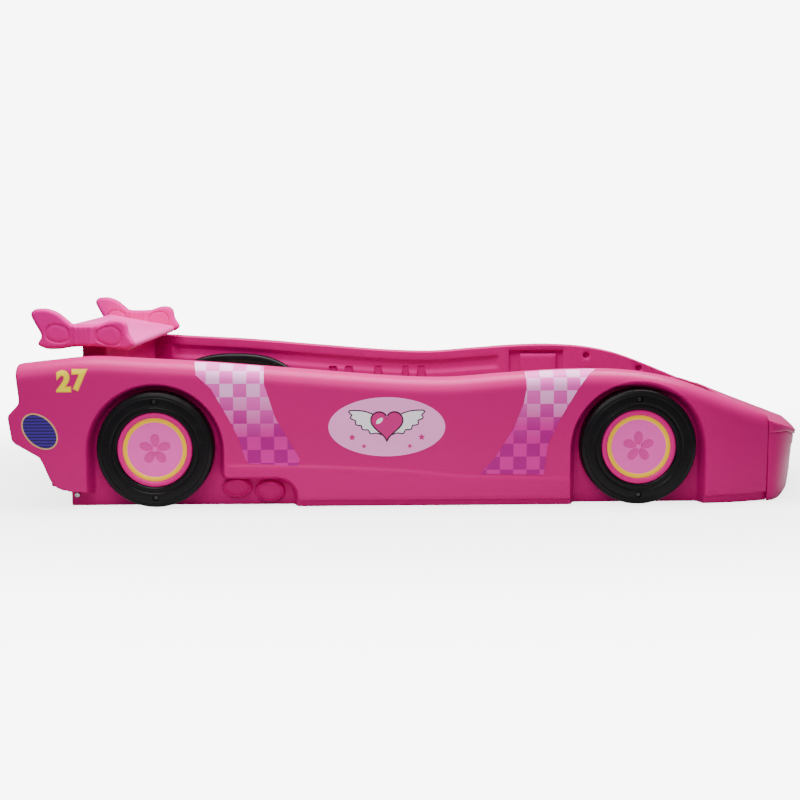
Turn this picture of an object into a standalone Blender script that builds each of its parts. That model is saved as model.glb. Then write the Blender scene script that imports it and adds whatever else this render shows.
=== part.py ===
"""A race-car toddler bed: moulded side panels, wheels, hood, bumper, winged spoiler and slatted deck.

Metres, +Z up. +X is the car's nose, +Y its left side, and the origin is on the floor under the middle.
"""

import math

import bmesh
import bpy
from mathutils import Matrix, Vector

# ---- Driving dimensions -------------------------------------------------------------------------------
GAP = 0.0003  # clearance between pieces that touch
OVERCUT = 0.02  # how far a cutter runs past the face that it opens
CUT_NEAR_Y = 0.30  # side-view cutters run from here, well inside the side panel,
CUT_FAR_Y = 0.80  # to here, well outside it

# Plan of the body, from the tail tip to the nose.
TAIL_X = -1.200
NOSE_X = 1.200
BODY_HALF_WIDTH = 0.585
TAPER_START_X = NOSE_X - 0.420  # where the front fenders start to draw in
SEAM_X = NOSE_X - 0.197  # where the side panels end and the nose begins
SEAM_HALF_WIDTH = BODY_HALF_WIDTH - 0.047

# Height of the rim along the car, as (x, z) stations of a smooth curve.
RIM_STATIONS = [
    (-1.205, 0.412), (-1.080, 0.426), (-0.960, 0.436), (-0.800, 0.428), (-0.600, 0.416), (-0.350, 0.395),
    (-0.100, 0.375), (0.060, 0.370), (0.220, 0.381), (0.380, 0.391), (0.520, 0.392),
    (NOSE_X - 0.560, 0.381), (NOSE_X - 0.440, 0.352), (SEAM_X, 0.254), (NOSE_X, 0.178),
]

# Side panels: an outer shell, open towards a thicker liner on its inner side.
WALL = 0.006
INNER_HALF_WIDTH = BODY_HALF_WIDTH - 0.085  # clear half width between the liners
SHOULDER_RADIUS = 0.048
RIM_FILLET = 0.010
LINER_THICKNESS = 0.016
PLINTH_DEPTH = 0.013
PLINTH_HEIGHT = 0.020
FOOT_HEIGHT = 0.046  # height of the sunk foot behind the rear wheel

# Tail fin outline, from the rim down to the foot.
TAIL_OUTLINE = [
    (-1.174, 0.470), (-1.174, 0.395), (-1.165, 0.306), (-1.200, 0.270), (-1.190, 0.200), (-1.182, 0.190),
    (-1.114, 0.150), (-1.106, 0.138), (-1.084, 0.082), (-1.068, 0.062), (-1.050, 0.053), (-1.034, 0.052),
]

# Wheels: a tyre ring, a hub cap and two bolts each.
REAR_WHEEL_X = -0.781
FRONT_WHEEL_X = NOSE_X - 0.587
WHEEL_RADIUS = 0.168
WHEEL_CENTRE_Z = WHEEL_RADIUS + 0.0025
WHEEL_FACE_Y = BODY_HALF_WIDTH + 0.005
WELL_RADIUS = WHEEL_RADIUS + 0.025
WELL_CENTRE_Z = WHEEL_CENTRE_Z - 0.0075
WELL_FLOOR_Y = BODY_HALF_WIDTH - 0.050
SIDEWALL_WIDTH = 0.060  # from the hub cap to the tread
HUB_RADIUS = WHEEL_RADIUS - SIDEWALL_WIDTH
HUB_RING_OUTER = HUB_RADIUS - 0.017
HUB_RING_INNER = HUB_RADIUS - 0.028
GROOVE_RADIUS = HUB_RADIUS + 0.016
BOLT_CIRCLE_RADIUS = 0.5 * (GROOVE_RADIUS + WHEEL_RADIUS) - 0.007
BOLT_HEAD_RADIUS = 0.0075
BOLT_SHANK_RADIUS = 0.0035
WHEEL_BOLT_LENGTH = 0.064
CORNER_BOLT_LENGTH = 0.020
BOLT_HEAD_HEIGHT = 0.0045
BOLT_CLEARANCE = 0.0005  # between a shank and its hole
HEAD_CLEARANCE = 0.0012  # between a head and its counterbore
BOLT_SINK = 0.009  # depth of a bolt head's counterbore in the tyre

# Side pipes under the door: two shallow ovals behind the rear wheel.
PIPE_NOTCH_TOP_Z = 0.085
PIPE_NOTCH_END_X = -0.375
PIPES = [(-0.551, 0.052, 0.041, 0.026), (-0.456, 0.041, 0.041, 0.031)]  # x, z, half length, half height
PIPE_RIM = 0.005
PIPE_PROUD = 0.012

# Headboard, spoiler wing and its bow-shaped end plates.
HEADBOARD_FRONT_X = -0.945
HEADBOARD_THICKNESS = 0.070
HEADBOARD_BOTTOM_Z = 0.020
HEADBOARD_TOP_Z = 0.424
SPOILER_POST_HALF_WIDTH = INNER_HALF_WIDTH - 0.085
POST_ROOT = 0.120  # how far the post reaches down into the headboard before they are joined
POST_INSET = 0.002  # how far its faces lie behind the headboard's
WING_CENTRE_X = -0.985
WING_CENTRE_Z = 0.478
WING_CHORD = 0.235
WING_THICKNESS = 0.024
WING_PITCH = math.radians(10.7)
WING_HALF_SPAN = INNER_HALF_WIDTH - 0.050
BOW_THICKNESS = 0.034
BOW_CENTRE_Z = 0.492
# Bow outline about the bow's centre, clockwise from the knot's upper rear corner.
BOW_OUTLINE = [
    (-0.038, 0.034), (0.026, 0.034), (0.044, 0.038), (0.068, 0.046), (0.096, 0.046), (0.112, 0.034),
    (0.118, 0.006), (0.134, -0.022), (0.126, -0.036), (0.108, -0.042), (0.080, -0.038), (0.026, -0.032),
    (-0.038, -0.032), (-0.082, -0.038), (-0.118, -0.038), (-0.140, -0.030), (-0.146, -0.020),
    (-0.136, 0.002), (-0.152, 0.034), (-0.164, 0.062), (-0.156, 0.076), (-0.140, 0.080), (-0.114, 0.079),
    (-0.084, 0.067), (-0.056, 0.044),
]

# Hood, bumper, foot panel and lamps.
HOOD_REAR_X = SEAM_X - 0.073
HOOD_CROWN = 0.010
HOOD_WALL = 0.006
SEAM_Z = 0.203  # height of the seam between hood and bumper
SEAM_DROP_X = SEAM_X + 0.067  # ahead of this the seam runs down to the nose
SEAM_DROP_SLOPE = 0.42
HOOD_SKIRT_DEPTH = 0.055  # how far the hood's sides reach down behind the seam
HOOD_EDGE_DROP = 0.012  # how far its top rounds down at the edges
BUMPER_LEAN = 0.034  # how far the bumper's foot sits behind its top edge
BUMPER_WALL = 0.008
FOOT_PANEL_THICKNESS = 0.020
FOOT_PANEL_TOP_Z = 0.226
LAMP_Y = SEAM_HALF_WIDTH - 0.238
LAMP_HALF_WIDTH = 0.105
LAMP_Z = 0.112
LAMP_HALF_HEIGHT = 0.034
LAMP_DEPTH = 0.050
GRILLE_HALF_WIDTH = 0.150
GRILLE_Z = 0.088
GRILLE_HALF_HEIGHT = 0.036

# Tail panel between the fins.
TAIL_PANEL_X = -1.085
TAIL_PANEL_THICKNESS = 0.050
TAIL_PANEL_BOTTOM_Z = 0.050
TAIL_PANEL_TOP_Z = 0.395

# Deck: ledge rails, a centre beam on legs, and slats across them.
RAIL_TOP_Z = 0.105
RAIL_HEIGHT = 0.045
RAIL_WIDTH = 0.035
DECK_REAR_X = -0.930
DECK_FRONT_X = SEAM_X - 0.038
BEAM_WIDTH = 0.060
SLAT_COUNT = 10
SLAT_WIDTH = 0.090
SLAT_THICKNESS = 0.018
LEG_SIZE = 0.050
LEG_STATIONS = [-0.780, 0.020, DECK_FRONT_X - 0.145]

# Black housing covers on the liners beside the rear wheels.
HOUSING_X = -0.655
HOUSING_HALF_LENGTH = 0.270
HOUSING_TOP_Z = 0.366
HOUSING_THICKNESS = 0.030

# Liner details.
CHANNEL_START_X = -0.880
CHANNEL_END_X = 0.305
CHANNEL_DROP = 0.036  # how far the channel's top lies under the rim
CHANNEL_HEIGHT = 0.042
CHANNEL_DEPTH = 0.007
POCKET_DEPTH = 0.010
POCKET_TOP_Z = 0.318
POCKET_HEIGHT = 0.090
POCKETS = [(-0.300, 0.030), (-0.242, 0.030), (-0.135, 0.030), (-0.035, 0.026), (0.023, 0.032)]  # x, length
BAY_X = 0.444  # centre of the sunk bay that surrounds a raised block
BAY_LENGTH = 0.198
BAY_TOP_Z = 0.370
BAY_BOTTOM_Z = 0.200
BLOCK_LENGTH = 0.132
BLOCK_TOP_Z = 0.356
BLOCK_SHIFT = 0.007  # how far the block stands forward of the bay's centre
EMPTY_HOLES = [(0.628, 0.350), (0.822, 0.302)]  # x, z of the unused bolt holes at the foot end
EMPTY_HOLE_RADIUS = 0.011

ROUND_SEGMENTS = 36
SMALL_SEGMENTS = 10
SMOOTH_ANGLE = math.radians(35.0)

# Colours as linear RGB.
PINK = (0.66, 0.030, 0.215, 1.0)
BOW_PINK = (0.84, 0.022, 0.350, 1.0)
LILAC_PINK = (0.72, 0.195, 0.480, 1.0)
BLACK = (0.010, 0.010, 0.011, 1.0)
LAMP_GREY = (0.60, 0.60, 0.62, 1.0)
STEEL = (0.45, 0.45, 0.46, 1.0)
WOOD = (0.62, 0.42, 0.24, 1.0)


# ---- Helpers ------------------------------------------------------------------------------------------
def clear_scene():
    """Remove every object of the scene."""
    for obj in list(bpy.data.objects):
        bpy.data.objects.remove(obj, do_unlink=True)


def material(name, colour, roughness, metallic=0.0):
    """A Principled material, made once for each name."""
    made = bpy.data.materials.get(name)
    if made is None:
        made = bpy.data.materials.new(name)
        made.use_nodes = True
        shader = made.node_tree.nodes["Principled BSDF"]
        shader.inputs["Base Color"].default_value = colour
        shader.inputs["Roughness"].default_value = roughness
        shader.inputs["Metallic"].default_value = metallic
    made.diffuse_color = colour
    return made


def new_object(name, made, look=None):
    """Turn a bmesh into an object of the scene, its faces pointing out and its round faces smooth."""
    bmesh.ops.remove_doubles(made, verts=made.verts, dist=1e-6)
    bmesh.ops.recalc_face_normals(made, faces=made.faces)
    mesh = bpy.data.meshes.new(name)
    made.to_mesh(mesh)
    made.free()
    obj = bpy.data.objects.new(name, mesh)
    bpy.context.scene.collection.objects.link(obj)
    if look is not None:
        finish(obj, look)
    return obj


def finish(obj, look):
    """Give an object its material and its smooth shading."""
    obj.data.materials.clear()
    obj.data.materials.append(look)
    obj.data.shade_smooth()
    obj.data.set_sharp_from_angle(angle=SMOOTH_ANGLE)
    return obj


def loft(name, rings, look=None):
    """A closed body through rings of equally many points, with flat ends."""
    made = bmesh.new()
    loops = [[made.verts.new(point) for point in ring] for ring in rings]
    count = len(rings[0])
    for near, far in zip(loops, loops[1:]):
        for index in range(count):
            following = (index + 1) % count
            made.faces.new((near[index], near[following], far[following], far[index]))
    made.faces.new(loops[0])
    made.faces.new(loops[-1])
    return new_object(name, made, look)


def prism_y(name, outline, low, high, look=None):
    """An (x, z) outline extruded along Y."""
    return loft(name, [[(x, y, z) for x, z in outline] for y in (low, high)], look)


def prism_x(name, outline, low, high, look=None):
    """A (y, z) outline extruded along X."""
    return loft(name, [[(x, y, z) for y, z in outline] for x in (low, high)], look)


def box(name, low, high, look=None):
    """A box between two corners."""
    outline = [(low[0], low[2]), (high[0], low[2]), (high[0], high[2]), (low[0], high[2])]
    return prism_y(name, outline, low[1], high[1], look)


def turned(name, profile, centre, look=None, segments=ROUND_SEGMENTS):
    """A closed (radius, y) profile turned about an axis along Y through the centre (x, z)."""
    made = bmesh.new()
    columns = []
    for step in range(segments):
        angle = 2.0 * math.pi * step / segments
        column = []
        for radius, y in profile:
            point = (centre[0] + radius * math.cos(angle), y, centre[1] + radius * math.sin(angle))
            column.append(made.verts.new(point))
        columns.append(column)
    count = len(profile)
    for step in range(segments):
        here = columns[step]
        there = columns[(step + 1) % segments]
        for index in range(count):
            following = (index + 1) % count
            if profile[index][0] + profile[following][0] < 1e-9:
                continue
            corners = [here[index], here[following], there[following], there[index]]
            if profile[index][0] < 1e-9:
                corners = corners[:3]
            elif profile[following][0] < 1e-9:
                corners = [here[index], here[following], there[index]]
            made.faces.new(corners)
    return new_object(name, made, look)


def rod_y(name, centre, radius, low, high, look=None, segments=SMALL_SEGMENTS):
    """A cylinder along Y."""
    return turned(name, [(0.0, low), (radius, low), (radius, high), (0.0, high)], centre, look, segments)


def bevel(obj, width, segments=2, angle=40.0):
    """Round the object's edges that are sharper than the angle in degrees."""
    modifier = obj.modifiers.new("bevel", "BEVEL")
    modifier.width = width
    modifier.segments = segments
    modifier.limit_method = "ANGLE"
    modifier.angle_limit = math.radians(angle)
    return bake(obj)


def bake(obj):
    """Put the object's modifiers into its mesh."""
    bpy.context.view_layer.update()
    graph = bpy.context.evaluated_depsgraph_get()
    made = bpy.data.meshes.new_from_object(obj.evaluated_get(graph))
    obj.modifiers.clear()
    obj.data = made
    return obj


def combine(obj, tool, operation):
    """Cut, join or intersect an object with a tool, and remove the tool."""
    modifier = obj.modifiers.new(operation.lower(), "BOOLEAN")
    modifier.solver = "EXACT"
    modifier.operation = operation
    modifier.object = tool
    bake(obj)
    bpy.data.objects.remove(tool, do_unlink=True)
    return obj


def cut(obj, *tools):
    """Cut the tools out of an object."""
    for tool in tools:
        combine(obj, tool, "DIFFERENCE")
    return obj


def mirrored(obj, name):
    """A copy of an object on the car's other side."""
    mesh = obj.data.copy()
    mesh.transform(Matrix.Scale(-1.0, 4, Vector((0.0, 1.0, 0.0))))
    mesh.flip_normals()
    copy = bpy.data.objects.new(name, mesh)
    bpy.context.scene.collection.objects.link(copy)
    return copy


def both_sides(obj, stem, look):
    """Name a left-hand piece, finish it and add its right-hand twin."""
    obj.name = stem + "_left"
    finish(obj, look)
    return obj, mirrored(obj, stem + "_right")


def smooth_value(stations, at):
    """Read a smooth curve (a Catmull-Rom through the stations) at one place."""
    if at <= stations[0][0]:
        return stations[0][1]
    if at >= stations[-1][0]:
        return stations[-1][1]
    index = max(i for i in range(len(stations) - 1) if stations[i][0] <= at)

    def slope(i):
        low = max(i - 1, 0)
        high = min(i + 1, len(stations) - 1)
        return (stations[high][1] - stations[low][1]) / (stations[high][0] - stations[low][0])

    (x0, z0), (x1, z1) = stations[index], stations[index + 1]
    span = x1 - x0
    t = (at - x0) / span
    start = (2 * t**3 - 3 * t**2 + 1) * z0 + (t**3 - 2 * t**2 + t) * span * slope(index)
    end = (3 * t**2 - 2 * t**3) * z1 + (t**3 - t**2) * span * slope(index + 1)
    return start + end


def inset_outline(outline, distance):
    """Move a closed outline's sides inward by a distance; the outline runs anticlockwise."""
    moved = []
    count = len(outline)
    for index in range(count):
        before = Vector(outline[index - 1])
        here = Vector(outline[index])
        after = Vector(outline[(index + 1) % count])
        first = (here - before).normalized()
        second = (after - here).normalized()
        first_normal = Vector((-first.y, first.x))
        second_normal = Vector((-second.y, second.x))
        middle = (first_normal + second_normal).normalized()
        reach = distance / max(middle.dot(first_normal), 0.5)
        moved.append(tuple(here + middle * reach))
    return moved


def spread(low, high, count):
    """Evenly spaced values from low to high."""
    return [low + (high - low) * step / (count - 1) for step in range(count)]


# ---- The body's own curves -----------------------------------------------------------------------------
def rim_height(x):
    """Height of the body's top edge."""
    return smooth_value(RIM_STATIONS, x)


def half_width(x):
    """Half the body's width: straight sides, drawn-in front fenders and a rounded nose."""
    if x <= TAPER_START_X:
        return BODY_HALF_WIDTH
    if x <= SEAM_X:
        t = (x - TAPER_START_X) / (SEAM_X - TAPER_START_X)
        return BODY_HALF_WIDTH + (SEAM_HALF_WIDTH - BODY_HALF_WIDTH) * t**2
    t = min((x - SEAM_X) / (NOSE_X - SEAM_X), 1.0)
    return SEAM_HALF_WIDTH * (1.0 - t**1.8) ** 0.6


def nose_outline(rear_x, front_x, rear_half_width, inset=0.0, segments=16):
    """Plan of the nose between two places: straight across its rear and round at the front."""
    stretch = (front_x - rear_x) / (NOSE_X - SEAM_X)
    points = []
    for step in range(segments + 1):
        t = math.sin(0.5 * math.pi * step / segments)
        x = rear_x + (NOSE_X - SEAM_X) * t * stretch
        width = half_width(SEAM_X + (NOSE_X - SEAM_X) * t) * rear_half_width / SEAM_HALF_WIDTH
        points.append((x - inset * t, max(width - inset, 0.0)))
    right = [(x, -y) for x, y in points]
    left = [(x, y) for x, y in reversed(points) if y > 1e-6]
    return [point for point in right if point[1] < -1e-6] + [(points[-1][0], 0.0)] + left


# ---- Side panels ---------------------------------------------------------------------------------------
def side_section(x, inset, inner):
    """One (y, z) section of the left side panel, drawn in by an inset."""
    width = half_width(x) - inset
    top = rim_height(x) - inset
    round_y = min(SHOULDER_RADIUS, 0.62 * (width - INNER_HALF_WIDTH))
    ring = [(inner, inset), (width - 0.002, inset), (width, 0.5 * (top - SHOULDER_RADIUS))]
    for step in range(6):
        angle = 0.5 * math.pi * step / 5
        y = width - round_y + round_y * math.cos(angle)
        ring.append((y, top - SHOULDER_RADIUS + SHOULDER_RADIUS * math.sin(angle)))
    fillet = RIM_FILLET if inset == 0.0 else 0.001
    ring.append((inner + fillet, top))
    ring.append((inner, top - fillet))
    return [(x, y, z) for y, z in ring]


def side_stations():
    """Places along the car where the side panel's section is drawn."""
    return spread(TAIL_X - OVERCUT, TAPER_START_X, 24) + spread(TAPER_START_X, SEAM_X, 6)[1:]


def tail_profile(inset):
    """The side panel's (x, z) outline, with the tail fin's steps, drawn in by an inset."""
    corners = [(SEAM_X + OVERCUT, -OVERCUT), (SEAM_X + OVERCUT, TAIL_OUTLINE[0][1])]
    outline = corners + TAIL_OUTLINE + [(TAIL_OUTLINE[-1][0], -OVERCUT)]
    return inset_outline(outline, inset) if inset else outline


def well_outline(wheel_x, grow):
    """The (x, z) outline of a wheel arch, open at the floor."""
    radius = WELL_RADIUS + grow
    outline = [(wheel_x + radius, -OVERCUT)]
    for step in range(25):
        angle = math.pi * step / 24
        outline.append((wheel_x + radius * math.cos(angle), WELL_CENTRE_Z + radius * math.sin(angle)))
    outline.append((wheel_x - radius, -OVERCUT))
    return outline


def pipe_notch_outline(grow):
    """The (x, z) outline of the notch that the side pipes sit in."""
    start = REAR_WHEEL_X + WELL_RADIUS - 0.01
    radius = 0.060
    centre_x = PIPE_NOTCH_END_X - radius
    outline = [(start, -OVERCUT), (PIPE_NOTCH_END_X + grow, -OVERCUT)]
    for step in range(7):
        angle = 0.5 * math.pi * step / 6
        x = centre_x + (radius + grow) * math.cos(angle)
        outline.append((x, PIPE_NOTCH_TOP_Z - radius + (radius + grow) * math.sin(angle)))
    outline.append((start, PIPE_NOTCH_TOP_Z + grow))
    return outline


def plinth(name, grow):
    """The strip cut from the panel's foot, which leaves a recessed plinth."""
    rings = []
    for x in [TAIL_X - OVERCUT] + spread(-0.9, TAPER_START_X, 3) + spread(0.85, SEAM_X + OVERCUT, 4):
        top = PLINTH_HEIGHT + grow
        inner = half_width(min(x, SEAM_X)) - PLINTH_DEPTH - grow
        outer = BODY_HALF_WIDTH + OVERCUT
        rings.append([(x, inner, -OVERCUT), (x, outer, -OVERCUT), (x, outer, top), (x, inner, top)])
    return loft(name, rings)


def foot_notch(grow):
    """The space beside the foot behind the rear wheel, as deep as the wheel well."""
    low = (TAIL_X - OVERCUT, WELL_FLOOR_Y - grow, -OVERCUT)
    return box("foot_notch", low, (REAR_WHEEL_X, BODY_HALF_WIDTH + OVERCUT, FOOT_HEIGHT + grow))


def side_cutters(grow):
    """The arches, the pipe notch and the plinth, grown by a wall for the hollow behind them."""
    floor = WELL_FLOOR_Y - grow
    outside = BODY_HALF_WIDTH + OVERCUT
    tools = [prism_y("arch", well_outline(x, grow), floor, outside) for x in (REAR_WHEEL_X, FRONT_WHEEL_X)]
    tools.append(prism_y("notch", pipe_notch_outline(grow), floor, outside))
    tools += [plinth("plinth", grow), foot_notch(grow)]
    return tools


def wheel_bolt_places():
    """The (name, x, z) of every wheel bolt on one side."""
    places = []
    for end, x in (("rear", REAR_WHEEL_X), ("front", FRONT_WHEEL_X)):
        places.append((end + "_top", x, WHEEL_CENTRE_Z + BOLT_CIRCLE_RADIUS))
        places.append((end + "_bottom", x, WHEEL_CENTRE_Z - BOLT_CIRCLE_RADIUS))
    return places


def corner_bolt_place():
    """The (x, z) of the bolt in the foot behind the rear wheel."""
    return TAIL_OUTLINE[-1][0] + 0.018, FOOT_HEIGHT - 0.013


def side_shell(look):
    """The outer shell of the left side panel, and its twin."""
    outer = loft("shell", [side_section(x, 0.0, INNER_HALF_WIDTH) for x in side_stations()])
    combine(outer, prism_y("profile", tail_profile(0.0), CUT_NEAR_Y, CUT_FAR_Y), "INTERSECT")
    cut(outer, *side_cutters(0.0))
    stations = [min(x, SEAM_X - WALL) for x in side_stations()]
    stations = sorted(set(stations))
    hollow = loft("hollow", [side_section(x, WALL, INNER_HALF_WIDTH - OVERCUT) for x in stations])
    combine(hollow, prism_y("profile", tail_profile(WALL), CUT_NEAR_Y, CUT_FAR_Y), "INTERSECT")
    cut(hollow, *side_cutters(WALL))
    cut(outer, hollow)
    for x, z in [(x, z) for _, x, z in wheel_bolt_places()] + [corner_bolt_place()]:
        hole_radius = BOLT_SHANK_RADIUS + BOLT_CLEARANCE
        cut(outer, rod_y("hole", (x, z), hole_radius, INNER_HALF_WIDTH + 0.5 * OVERCUT, CUT_FAR_Y))
    for x, z, half_length, half_height in PIPES:
        combine(outer, pipe_ring(x, z, half_length, half_height), "UNION")
    return both_sides(outer, "side_shell", look)


def ellipse(x, z, half_length, half_height, segments=20):
    """An (x, z) ellipse as a list of points."""
    turns = [2.0 * math.pi * step / segments for step in range(segments)]
    return [(x + half_length * math.cos(a), z + half_height * math.sin(a)) for a in turns]


def pipe_ring(x, z, half_length, half_height):
    """A raised oval rim with a shallow dish: the mouth of a side pipe."""
    root = WELL_FLOOR_Y - 0.5 * WALL
    face = WELL_FLOOR_Y + PIPE_PROUD
    ring = prism_y("pipe", ellipse(x, z, half_length, half_height), root, face)
    inner = ellipse(x, z, half_length - PIPE_RIM, half_height - PIPE_RIM)
    return cut(ring, prism_y("dish", inner, WELL_FLOOR_Y + 0.002, face + OVERCUT))


def rounded_box(name, low, high, radius, segments=4):
    """A box whose corners are round as seen along Y."""
    outline = []
    corners = [(high[0], high[2], 0), (low[0], high[2], 1), (low[0], low[2], 2), (high[0], low[2], 3)]
    for x, z, quarter in corners:
        centre_x = x - radius if quarter in (0, 3) else x + radius
        centre_z = z - radius if quarter in (0, 1) else z + radius
        for step in range(segments + 1):
            angle = 0.5 * math.pi * (quarter + step / segments)
            outline.append((centre_x + radius * math.cos(angle), centre_z + radius * math.sin(angle)))
    return prism_y(name, outline, low[1], high[1])


def liner_rear_x():
    """The liner starts behind the headboard."""
    return HEADBOARD_FRONT_X - HEADBOARD_THICKNESS - 0.010


def liner_front_x():
    """The liner ends just inside the shell's front wall."""
    return SEAM_X - WALL - GAP


def bay_outline():
    """The bay's (x, z) outline: up one side of the raised block, over it and down the other side."""
    rear, front = BAY_X - BAY_LENGTH / 2, BAY_X + BAY_LENGTH / 2
    block_rear = BAY_X + BLOCK_SHIFT - BLOCK_LENGTH / 2
    block_front = block_rear + BLOCK_LENGTH
    outline = [(rear, BAY_BOTTOM_Z), (block_rear, BAY_BOTTOM_Z), (block_rear, BLOCK_TOP_Z)]
    outline += [(block_front, BLOCK_TOP_Z), (block_front, BAY_BOTTOM_Z), (front, BAY_BOTTOM_Z)]
    return outline + [(front, BAY_TOP_Z), (rear, BAY_TOP_Z)]


def side_liner(look):
    """The moulded inner wall of the left side panel, and its twin."""
    inner = INNER_HALF_WIDTH
    stations = [min(x, SEAM_X - WALL) for x in side_stations()]
    liner = loft("liner", [side_section(x, WALL + GAP, inner) for x in stations])
    back = inner + LINER_THICKNESS
    low = (liner_rear_x(), inner - OVERCUT, 0.0)
    block = box("block", low, (liner_front_x(), back, 2 * HOUSING_TOP_Z))
    combine(liner, block, "INTERSECT")
    low = inner - OVERCUT
    channel = []
    for x in spread(CHANNEL_START_X, CHANNEL_END_X, 14):
        channel.append((x, rim_height(x) - CHANNEL_DROP))
    for x in spread(CHANNEL_END_X, CHANNEL_START_X, 14):
        channel.append((x, rim_height(x) - CHANNEL_DROP - CHANNEL_HEIGHT))
    cut(liner, prism_y("channel", channel, low, inner + CHANNEL_DEPTH))
    for x, length in POCKETS:
        bottom = POCKET_TOP_Z - POCKET_HEIGHT
        corners = (x - length / 2, low, bottom), (x + length / 2, inner + POCKET_DEPTH, POCKET_TOP_Z)
        cut(liner, rounded_box("pocket", *corners, 0.006, 2))
    cut(liner, prism_y("bay", bay_outline(), low, inner + POCKET_DEPTH))
    for x, z in EMPTY_HOLES:
        cut(liner, rod_y("hole", (x, z), EMPTY_HOLE_RADIUS, low, inner + POCKET_DEPTH))
    return both_sides(liner, "side_liner", look)


def housing_cover(look):
    """The arched black cover on the left liner beside the rear wheel, and its twin."""
    high = INNER_HALF_WIDTH - GAP
    low = high - HOUSING_THICKNESS
    bottom = RAIL_TOP_Z + SLAT_THICKNESS + 3 * GAP
    outline = []
    for step in range(25):
        angle = math.pi * step / 24
        reach = abs(math.cos(angle)) ** 0.8 * (1 if math.cos(angle) >= 0 else -1)
        x = HOUSING_X + HOUSING_HALF_LENGTH * reach
        outline.append((x, bottom + (HOUSING_TOP_Z - bottom) * math.sin(angle) ** 0.8))
    cover = prism_y("cover", outline, low, high)
    hollow = prism_y("hollow", inset_outline(outline, 0.005), low + 0.005, high + OVERCUT)
    return both_sides(cut(cover, hollow), "wheel_housing_cover", look)


# ---- Wheels --------------------------------------------------------------------------------------------
def tyre(x, look, stem):
    """A tyre ring on the left with a rounded tread edge, a groove and bolt holes; and its twin."""
    back = WELL_FLOOR_Y + GAP
    face = WHEEL_FACE_Y
    bore = HUB_RADIUS + GAP
    profile = [
        (bore, back), (bore, face - 0.004), (bore + 0.004, face - 0.001),
        (GROOVE_RADIUS - 0.003, face - 0.001), (GROOVE_RADIUS, face - 0.004), (GROOVE_RADIUS + 0.003, face),
        (WHEEL_RADIUS - 0.014, face), (WHEEL_RADIUS - 0.004, face - 0.004), (WHEEL_RADIUS, face - 0.014),
        (WHEEL_RADIUS, back),
    ]
    ring = turned("tyre", profile[::-1], (x, WHEEL_CENTRE_Z))
    for z in (WHEEL_CENTRE_Z + BOLT_CIRCLE_RADIUS, WHEEL_CENTRE_Z - BOLT_CIRCLE_RADIUS):
        head_radius = BOLT_HEAD_RADIUS + HEAD_CLEARANCE
        shank_radius = BOLT_SHANK_RADIUS + BOLT_CLEARANCE
        head_hole = rod_y("sink", (x, z), head_radius, face - BOLT_SINK, face + OVERCUT)
        cut(ring, head_hole, rod_y("hole", (x, z), shank_radius, back - OVERCUT, face))
    return both_sides(ring, stem, look)


def hub_cap(x, look, stem):
    """A dished hub cap on the left with a raised rim, and its twin."""
    back = WELL_FLOOR_Y + GAP
    face = WHEEL_FACE_Y - 0.002
    profile = [
        (0.0, back), (HUB_RADIUS, back), (HUB_RADIUS, face - 0.004), (HUB_RADIUS - 0.004, face),
        (HUB_RING_OUTER + 0.002, face), (HUB_RING_OUTER, face - 0.004), (HUB_RING_INNER, face - 0.005),
        (HUB_RING_INNER - 0.001, face - 0.007), (0.0, face - 0.007),
    ]
    cap = turned("cap", profile, (x, WHEEL_CENTRE_Z))
    return both_sides(cap, stem, look)


def bolt(x, z, seat_y, length, look, stem):
    """A round-headed bolt along Y on the left, its hex socket facing out; and its twin."""
    head_y = seat_y + BOLT_HEAD_HEIGHT
    end = head_y - length
    profile = [
        (0.0, end), (BOLT_SHANK_RADIUS, end), (BOLT_SHANK_RADIUS, seat_y), (BOLT_HEAD_RADIUS, seat_y),
        (BOLT_HEAD_RADIUS, head_y - 0.0015), (BOLT_HEAD_RADIUS - 0.0015, head_y), (0.0, head_y),
    ]
    made = turned("bolt", profile, (x, z), None, SMALL_SEGMENTS)
    cut(made, rod_y("socket", (x, z), 0.0026, head_y - 0.003, head_y + OVERCUT, None, 6))
    return both_sides(made, stem, look)


# ---- Spoiler and headboard ----------------------------------------------------------------------------
def wing_underside(x):
    """Height of the wing's lower face at one place."""
    below = 0.5 * WING_THICKNESS / math.cos(WING_PITCH)
    return WING_CENTRE_Z - below - math.tan(WING_PITCH) * (x - WING_CENTRE_X)


def headboard(look):
    """The headboard: a hollow wall, open below, whose middle rises to carry the wing."""
    front = HEADBOARD_FRONT_X
    rear = front - HEADBOARD_THICKNESS
    half = INNER_HALF_WIDTH - GAP
    board = box("headboard", (rear, -half, HEADBOARD_BOTTOM_Z), (front, half, HEADBOARD_TOP_Z))
    bevel(board, 0.010, 3)
    foot = HEADBOARD_TOP_Z - POST_ROOT
    outline = [(rear + POST_INSET, foot), (front - POST_INSET, foot)]
    outline += [(x, wing_underside(x) - GAP) for x in (front - POST_INSET, rear + POST_INSET)]
    post = prism_y("post", outline, -SPOILER_POST_HALF_WIDTH, SPOILER_POST_HALF_WIDTH)
    combine(board, post, "UNION")
    low = (rear + WALL, -half + WALL, HEADBOARD_BOTTOM_Z - OVERCUT)
    cut(board, box("hollow", low, (front - WALL, half - WALL, HEADBOARD_TOP_Z - 2 * WALL)))
    return finish(board, look)


def pitched(x, z):
    """A point given about the wing's centre, turned by the wing's pitch."""
    cosine = math.cos(WING_PITCH)
    sine = math.sin(WING_PITCH)
    return WING_CENTRE_X + x * cosine + z * sine, WING_CENTRE_Z - x * sine + z * cosine


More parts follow.
